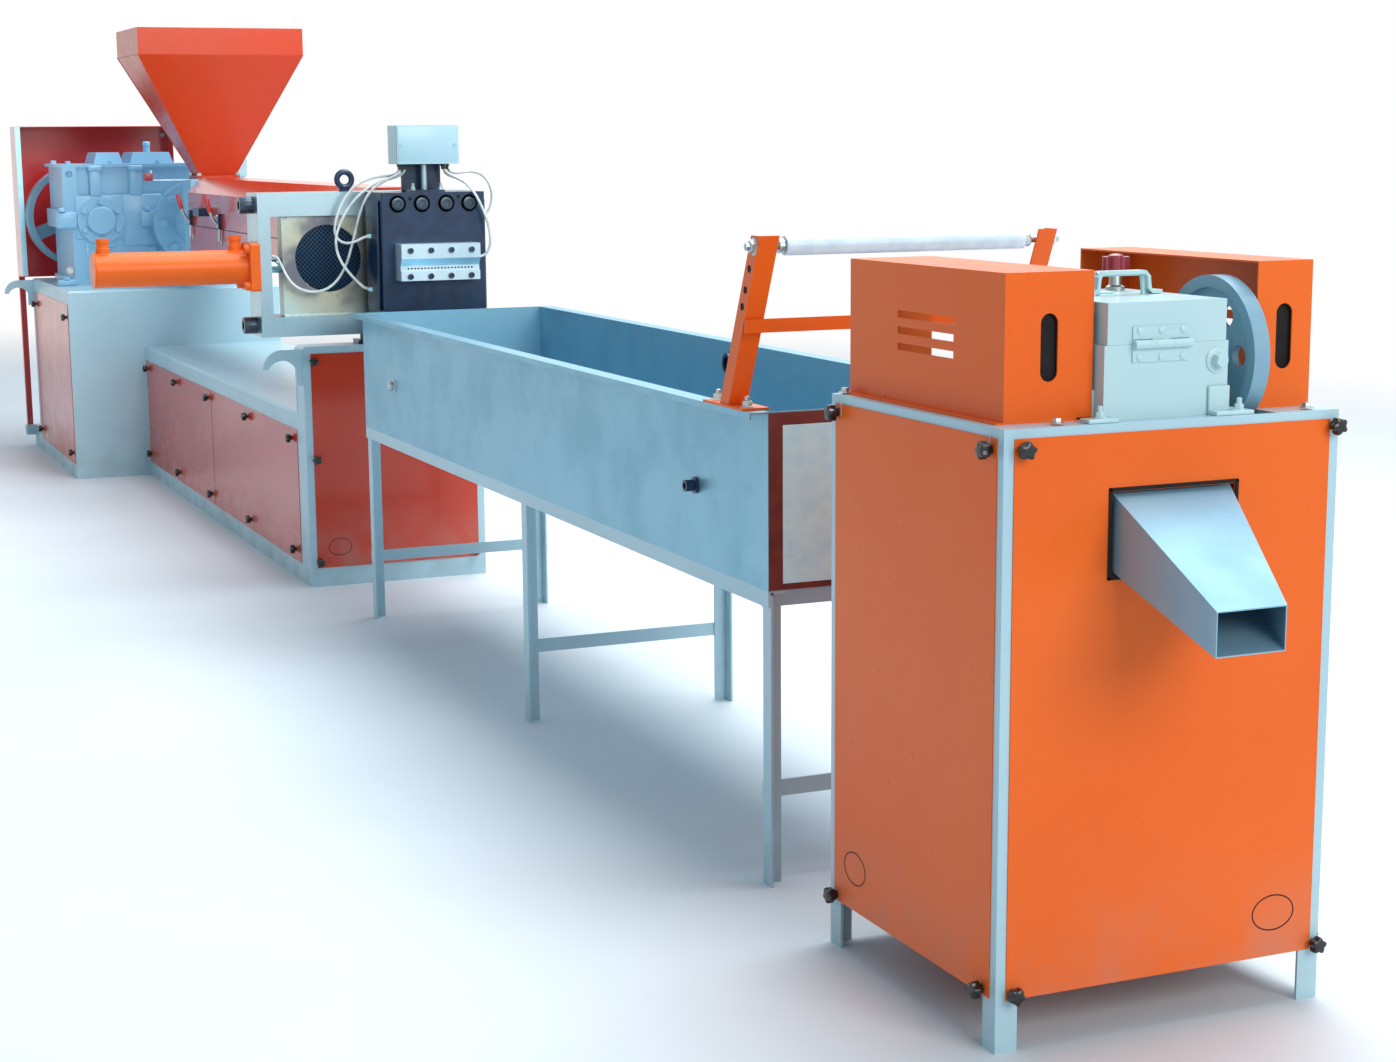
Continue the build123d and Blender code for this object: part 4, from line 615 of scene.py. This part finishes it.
for wire_name, route in wire_routes.items():
    points = np.array(route) * 0.001
    curve = bpy.data.curves.new(wire_name + "_line", "CURVE")
    curve.dimensions = "3D"
    curve.bevel_depth = 0.004
    curve.bevel_resolution = 4
    curve.resolution_u = 6
    line = curve.splines.new("NURBS")
    line.points.add(len(points) - 1)
    line.points.foreach_set("co", np.concatenate([points, np.ones((len(points), 1))], 1).ravel())
    line.order_u = 3
    line.use_endpoint_u = True
    curve.materials.append(sleeve)
    wire = bpy.data.objects.new(wire_name + "_sleeve", curve)
    bpy.context.scene.collection.objects.link(wire)
    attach(wire, "line")
    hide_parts(wire_name)

# Cooling trough: rolled sheet with welded corner seams on a pale frame, an axle bolt and a threaded
# nipple on the near wall, a drain coupling on the far wall, and a white protective film left on the
# primed end.
sheet = bare("rolled_sheet", (0.52, 0.71, 0.79), (0.48, 0.67, 0.75), 0.36, (0.3, 1, 1), 90.0,
             0.03, (0.50, 0.55, 0.57), 0.06, 0.7)
primer = moulded("red_oxide", (0.45, 0.16, 0.12), (0.36, 0.11, 0.09), 0.6)
dress(sheet, "water_tank", 1.0)
dress(pale, "trough_rails trough_legs trough_ties")
near, far, rim, floor = -246.0, 319.0, 932.0, 588.0
seams_at = (near + 4, far - 4)
trough_seams = [weld((x, y, floor + 4), (x, y, rim - 8), 2.2) for x in (2010, 4903) for y in seams_at]
trough_seams += [weld((2012, y, floor + 4), (4900, y, floor + 4), 2.0) for y in seams_at]
piece("trough_seams", join(*trough_seams), sheet, angle=80)
piece("trough_bolt", copies(hex_head(24, 14, 1.6), [(2333, near, 742)], (0, -1, 0), (0.3,)), zinc)
piece("trough_nipple", copies(lathe([(17, 0), (17, 6), (12, 7), (12, 26), (7, 26), (7, 12)], 24),
                              [(4560, near, 748)], (0, -1, 0)), black)
piece("trough_coupling", copies(lathe([(34, 0), (34, 6), (26, 8), (26, 22), (17, 22), (17, 6)], 28),
                                [(3488, far - 3, 880)], (0, -1, 0)), black)
piece("trough_end_primer", slab((4906, near + 1, floor + 2), (4908.4, far - 1, rim - 2), 0.8), primer)
piece("trough_end_film", slab((4908, near + 30, floor + 14), (4909.6, far - 12, rim - 26), 0.6), film)
leg_welds = []
for leg_x in (2006, 3439, 4871):
    for leg_y in (near + 5, far - 41):
        leg_welds += [weld((leg_x, leg_y + 3, 583), (leg_x + 36, leg_y + 3, 583)),
                      weld((leg_x - 1, leg_y + 2, 174), (leg_x - 1, leg_y + 34, 174))]
piece("trough_leg_welds", join(*leg_welds), pale, angle=80)

# Guide roller: white nylon on a fixed steel axle between two orange arms. Each arm's seat has two studs
# with nuts, the arms have adjusting holes, and lock nuts and turned collars hold the axle.
nylon = moulded("white_nylon", (0.87, 0.94, 0.98), (0.80, 0.88, 0.93), 0.34, 60.0, 0.02)
dress(orange, "roller_arms arm_crossbar")
dress(steel, "roller_axle")
dress(nylon, "guide_roller", 0)
seat_top, axle_x, axle_z = 937, 4920, 1242
seat_nut = join(hex_head(19, 10, 1.5), moved(lathe([(5, 0), (5, 8), (4, 9)], 12), (0, 0, 12)))
seat_nuts = [(x, y, seat_top) for x in (4712, 4848) for y in (-262, 329)]
piece("arm_seat_nuts", copies(seat_nut, seat_nuts, (0, 0, 1), (0.3, 0.8)), zinc)
slope = (4928 - 4780) / (1262 - seat_top)
# The adjusting holes are near-black discs: painted shade inside the holes.
arm_hole = lathe([(7, 0), (7, 0.8), (5.5, 0.8), (5.5, 0.3)], 20)
piece("arm_holes", join(*[copies(arm_hole, [(4780 + (z - seat_top) * slope, y, z)], (0, sy, 0))
                          for z in (1200, 1160, 1128) for y, sy in ((-280, -1), (353, 1))]), near_black_and_shade)
piece("axle_nuts", join(*[copies(hex_head(22, 9, 1.5), [(axle_x, y, axle_z)], (0, sy, 0), (0.4,))
                          for y, sy in ((-279.5, -1), (352.5, 1))]), zinc)
collar = lathe([(13, 0), (14, 2), (14, 10), (12, 12)])
piece("axle_collars", join(*[copies(collar, [(axle_x, y, axle_z)], (0, sy, 0))
                             for y, sy in ((-232, 1), (305, -1))]), zinc)

# Pelletizer cabinet: pale angle-iron frame with welded corners and a bolted table plate, orange sheet
# panels on star knobs, and a bright sheet outlet chute with a rubber lip round it.
chute_steel = bare("bright_sheet", (0.56, 0.72, 0.80), (0.52, 0.68, 0.77), 0.45, (0.3, 1, 1),
                   90.0, 0.01, stained=0.03, metallic=0.5)
dress(pale, "cabinet_posts cabinet_rails cabinet_table")
dress(orange, "front_panel cabinet_panels", 0.8)
dress(chute_steel, "outlet_chute", 0.6)
front_face, near_side, far_side, table_top = 5817, -274, 354, 1000
front_knobs = [(front_face, y, z) for y, z in ((-240, 968), (340, 974), (-243, 98), (340, 98))]
side_knobs = [(x, near_side, z) for x, z in ((5256, 969), (5780, 966), (5256, 98), (5775, 98))]
far_knobs = [(x, far_side, z) for x, _, z in side_knobs]
piece("front_panel_knobs", copies(knob, front_knobs, (1, 0, 0), (0.2, 0.7, 1.0)), knob_black)
piece("side_panel_knobs", copies(knob, side_knobs, (0, -1, 0), (0.2, 0.7, 1.0)), knob_black)
piece("side_panel_knobs_far", copies(knob, far_knobs, (0, 1, 0), (0.5,)), knob_black)
cabinet_welds = [weld((x, y, 964), (x, y, 988), 2.2) for x in (5269, 5775) for y in (-272.5, 352.5)]
piece("cabinet_welds", join(*cabinet_welds), pale, angle=80)
table_bolts = [(x, y, table_top + 3) for x, y in ((5252, -258), (5798, -168), (5252, 342), (5798, 300))]
piece("table_bolts", copies(hex_head(13, 7, 1.7), table_bolts, (0, 0, 1), (0.3, 0.8)), zinc)
lip_back, lip_front = front_face - 0.5, front_face + 3
piece("chute_lip", join(slab((lip_back, -84, 893), (lip_front, 158, 899), 1),
                        slab((lip_back, -84, 753), (lip_front, 158, 759), 1),
                        slab((lip_back, -84, 753), (lip_front, -78, 899), 1),
                        slab((lip_back, 152, 753), (lip_front, 158, 899), 1)), near_black_and_shade)

# Knock-outs: oval cable holes in the cabinet's and the stand's panels, still closed by their disc. A thin
# dark cut line is left round each.
oval = np.arange(48) * 2 * np.pi / 48


def pressed_oval(half_long, half_high):
    """Cut line of an oval: rows (a + d) cos t, (b + d) sin t with d from 1.1 to -1.1, 0.4 mm proud."""
    steps = np.array([[1.1, 0], [1.1, 0.4], [-1.1, 0.4], [-1.1, 0]])
    rows = np.stack([(half_long + steps[:, :1]) * np.cos(oval), (half_high + steps[:, :1]) * np.sin(oval),
                     np.repeat(steps[:, 1:], 48, 1)], -1)
    return loft(rows, caps=False)


piece("knock_outs", join(copies(pressed_oval(41, 30), [(front_face, 256, 163)], (1, 0, 0)),
                         copies(pressed_oval(40, 29), [(5328, near_side, 166)], (0, -1, 0)),
                         copies(pressed_oval(38, 28), [(stand_face, -199, 129)], (1, 0, 0))), near_black_and_shade)

# Cutter: cast housing on bracket feet, bolted to the table, with a turned rotor on one shaft between the
# near pulley and the flywheel. A clamp screw and a row of rivets show on its front.
turned = bare("turned_iron", (0.56, 0.59, 0.60), (0.44, 0.47, 0.49), 0.4, (1, 6, 1), 140.0,
              0.15)
dress(housing_paint, "cutter_housing", 1.2)
dress(turned, "cutter_rotor")
dress(wheel_paint, "flywheel near_pulley")
housing_face, hinge_face, side_foot = 5785, 5788, (5740, 5520)
feet = []
for foot_x, foot_y in [(x, y) for y in (154, -77) for x in side_foot]:
    out = 1 if foot_y > 0 else -1
    low_y, high_y = sorted((foot_y, foot_y + out * 5))
    toe_low, toe_high = sorted((foot_y, foot_y + out * 34))
    feet += [slab((foot_x - 20, low_y, table_top), (foot_x + 20, high_y, 1046), 1.5),
             slab((foot_x - 20, toe_low, table_top), (foot_x + 20, toe_high, 1006), 1.5)]
feet += [slab((5785.2, 116, 1001), (5791, 156, 1046), 2.5),
         slab((5785.2, 116, 1000.2), (5813, 188, 1007), 1.5),
         slab((5785.2, -120, 1000.2), (5813, -66, 1007), 1.5)]
piece("housing_feet", join(*feet), housing_paint)
side_bolts = [(x, y, 1006) for x in side_foot for y in (176, -99)]
front_stud = join(hex_head(13, 8, 1.6), moved(lathe([(4.5, 0), (4.5, 9), (3.5, 10)], 12), (0, 0, 9)))
piece("housing_bolts", join(copies(hex_head(13, 8, 1.6), side_bolts, (0, 0, 1), (0.4, 0.9)),
                            copies(front_stud, [(5799, 168, 1007), (5799, -92, 1007)], (0, 0, 1), (0.2,))),
      housing_paint)
rivet = lathe([(6, 0), (6, 1.2), (4, 2.4), (1.5, 2.8)], 18)
rivet_row = (-14, 26, 66)
piece("housing_front_bolt", join(copies(hex_head(22, 14, 1.9), [(housing_face, 133, 1086)],
                                        (1, 0, 0), (0.3,)),
                                 copies(rivet, [(hinge_face, y, 1096) for y in rivet_row], (1, 0, 0))),
      housing_paint)

# Cutter lid: a cast cover that hinges open with its riveted top plate, a bent strap handle and the red
# pressure knob on a zinc-plated collar. A dark gasket lies under its rim.
dress(housing_paint, "cutter_lid", 1.2)
dress(knob_rose, "pressure_knob")
lid_top = 1183
piece("lid_rivets", copies(rivet, [(hinge_face, y, 1138) for y in rivet_row], (1, 0, 0)),
      housing_paint, "lid")
piece("lid_plate", join(slab((5560, -40, lid_top), (5600, 60, lid_top + 4), 1.5),
                        copies(hex_head(13, 7, 1.5), [(5580, -20, lid_top + 4)], (0, 0, 1), (0.2,))),
      housing_paint, "lid")
strap = np.array([(-18, 1187), (0, 1187), (6, 1193), (8, 1212), (14, 1219), (96, 1219), (102, 1212),
                  (104, 1193), (110, 1187), (128, 1187)], float)
strap_ahead = np.gradient(strap, axis=0)
half_thick = 3
strap_out = np.stack([-strap_ahead[:, 1], strap_ahead[:, 0]], 1)
strap_out = strap_out * half_thick / np.linalg.norm(strap_ahead, axis=1)[:, None]
piece("lid_handle_strap", loft([[(5613, *low), (5637, *low), (5637, *high), (5613, *high)]
                                for low, high in zip(strap - strap_out, strap + strap_out)]),
      housing_paint, "lid")
knob_x, knob_y, knob_top = 5525, 110, 1239
piece("knob_collar", copies(lathe([(16, 0), (16, 6), (11, 9), (10, 26)], 24), [(knob_x, knob_y, lid_top)],
                            (0, 0, 1)), zinc, "lid")
piece("knob_cap", copies(lathe([(13, 0), (13, 2), (9, 4), (4, 5)], 24), [(knob_x, knob_y, knob_top)],
                         (0, 0, 1)), knob_rose, "lid")
piece("lid_gasket", slab((5486, -71.5, 1116.4), (5784, 148.5, 1118), 0.5), near_black_and_shade, "lid")

# Belt guards of the cutter: folded orange sheet over the pulley and over the flywheel. Thin near-black sheets
# inside them, behind the slots, are painted shade for the dark inside of the closed guards.
dress(orange, "near_guard far_guard")
shade_sheets = [slab((5750, -236, 1006), (5752, -86, 1228), 0.5),
           slab((5246, -237, 1006), (5750, -235.5, 1080), 0.5),
           slab((5743, 236, 1006), (5745, 333, 1232), 0.5)]
piece("guard_shade_sheets", join(*shade_sheets), near_black_and_shade)

# Floor: plain pale concrete that keeps the machine's shadow and fades to white away from it, for the
# camera and in polished metal only.
floor_look, floor_shader, floor_at = begin("floor_concrete")
floor_tone = floor_at.noise(0.7, 5.0).steps(0.3, 0.7).blend(tint(0.87, 0.89, 0.91), tint(0.84, 0.86, 0.88))
floor_tone.into(floor_shader, "Base Color")
(floor_at.noise(5.0, 4.0) * 0.2 + 0.5).into(floor_shader, "Roughness")
floor_tree = floor_look.node_tree
along, aside = (floor_at.part("X") - 1.6) * 0.16, floor_at.part("Y") * 0.26
far_out = (along * along + aside * aside).steps(1.0, 4.0)
floor_ray = floor_tree.nodes.new("ShaderNodeLightPath")
floor_seen, floor_mirrored = [Value(floor_tree, floor_ray.outputs["Is %s Ray" % kind])
                              for kind in ("Camera", "Glossy")]
white_floor = floor_tree.nodes.new("ShaderNodeEmission")
fading = floor_tree.nodes.new("ShaderNodeMixShader")
((floor_seen + floor_mirrored) * far_out).into(fading, "Fac")
floor_tree.links.new(floor_shader.outputs["BSDF"], fading.inputs[1])
floor_tree.links.new(white_floor.outputs["Emission"], fading.inputs[2])
floor_tree.links.new(fading.outputs["Shader"], floor_tree.nodes["Material Output"].inputs["Surface"])
floor_half = 60
floor_mesh = bpy.data.meshes.new("floor")
floor_mesh.from_pydata([(sx * floor_half, sy * floor_half, 0)
                        for sx, sy in ((-1, -1), (1, -1), (1, 1), (-1, 1))],
                       [], [(0, 1, 2, 3)])
floor_mesh.materials.append(floor_look)
floor_object = bpy.data.objects.new("floor", floor_mesh)
bpy.context.scene.collection.objects.link(floor_object)

# Sky: an even, slightly blue light from all round, which shows white behind the machine and in its
# polished metal.
sky = bpy.data.worlds.new("sky")
sky.use_nodes = True
sky_tree = sky.node_tree
soft_sky = sky_tree.nodes["Background"]
soft_sky.inputs["Color"].default_value = (0.72, 0.88, 1.0, 1.0)
soft_sky.inputs["Strength"].default_value = 0.5
white_sky = sky_tree.nodes.new("ShaderNodeBackground")
white_sky.inputs["Color"].default_value = (1.0, 1.0, 1.0, 1.0)
ray = sky_tree.nodes.new("ShaderNodeLightPath")
seen, mirrored, passed = [Value(sky_tree, ray.outputs["Is %s Ray" % kind])
                          for kind in ("Camera", "Glossy", "Transmission")]
both = sky_tree.nodes.new("ShaderNodeMixShader")
(seen + mirrored + passed).into(both, "Fac")
sky_tree.links.new(soft_sky.outputs["Background"], both.inputs[1])
sky_tree.links.new(white_sky.outputs["Background"], both.inputs[2])
sky_tree.links.new(both.outputs["Shader"], sky_tree.nodes["World Output"].inputs["Surface"])
bpy.context.scene.world = sky

# Lamps: three large soft panels, one above the line, one in front of the pelletizer and a weak one that
# lifts the extruder at the far end.


def placed(x, y, z, origin):
    """Matrix with columns x, y, z and origin."""
    return mathutils.Matrix([[*row, o] for row, o in zip(np.stack([x, y, z], 1), origin)] + [[0, 0, 0, 1]])


def panel_light(name, place, target, width, height, power, colour):
    """Area light that faces its target."""
    lamp = bpy.data.lights.new(name, "AREA")
    lamp.shape = "RECTANGLE"
    lamp.size, lamp.size_y, lamp.energy, lamp.color = width, height, power, colour
    holder = bpy.data.objects.new(name, lamp)
    bpy.context.scene.collection.objects.link(holder)
    back = np.array(place, float) - np.array(target, float)
    back /= np.linalg.norm(back)
    side = np.cross((0, 0, 1), back)
    side /= np.linalg.norm(side)
    up = np.cross(back, side)
    holder.matrix_world = placed(side, up, back, place)


panel_light("sky_panel", (1.6, 2.2, 7.5), (1.4, 0.4, 0.8), 10.0, 5.0, 850.0, (0.87, 0.96, 1.0))
panel_light("front_panel_light", (13.0, 1.5, 4.5), (3.0, 0.0, 0.8), 5.0, 4.0, 370.0, (1.0, 0.98, 0.95))
panel_light("middle_panel_light", (4.2, 1.2, 5.2), (-2.2, 0.0, 1.0), 3.0, 3.0, 90.0, (1.0, 0.98, 0.96))

# Camera: where the photo was taken from, 1.44 m above the floor in front of the pelletizer, with the lens
# that the photo's perspective gives.
yaw, pitch, roll = 2.739, -0.1762, -0.0079
ahead = np.array([math.cos(yaw) * math.cos(pitch), math.sin(yaw) * math.cos(pitch), math.sin(pitch)])
level = np.cross(ahead, (0, 0, 1))
level /= np.linalg.norm(level)
upright = np.cross(level, ahead)
right = level * math.cos(roll) + upright * math.sin(roll)
above = upright * math.cos(roll) - level * math.sin(roll)
lens = bpy.data.cameras.new("photo_camera")
lens.sensor_width, lens.lens, lens.shift_y = 36.0, 60.08, 0.0167
lens.clip_end = 200
eye = bpy.data.objects.new("photo_camera", lens)
bpy.context.scene.collection.objects.link(eye)
eye.matrix_world = placed(right, above, -ahead, (8.8599, -2.0744, 1.4371))
bpy.context.scene.camera = eye
bpy.context.scene.view_settings.view_transform = "Standard"
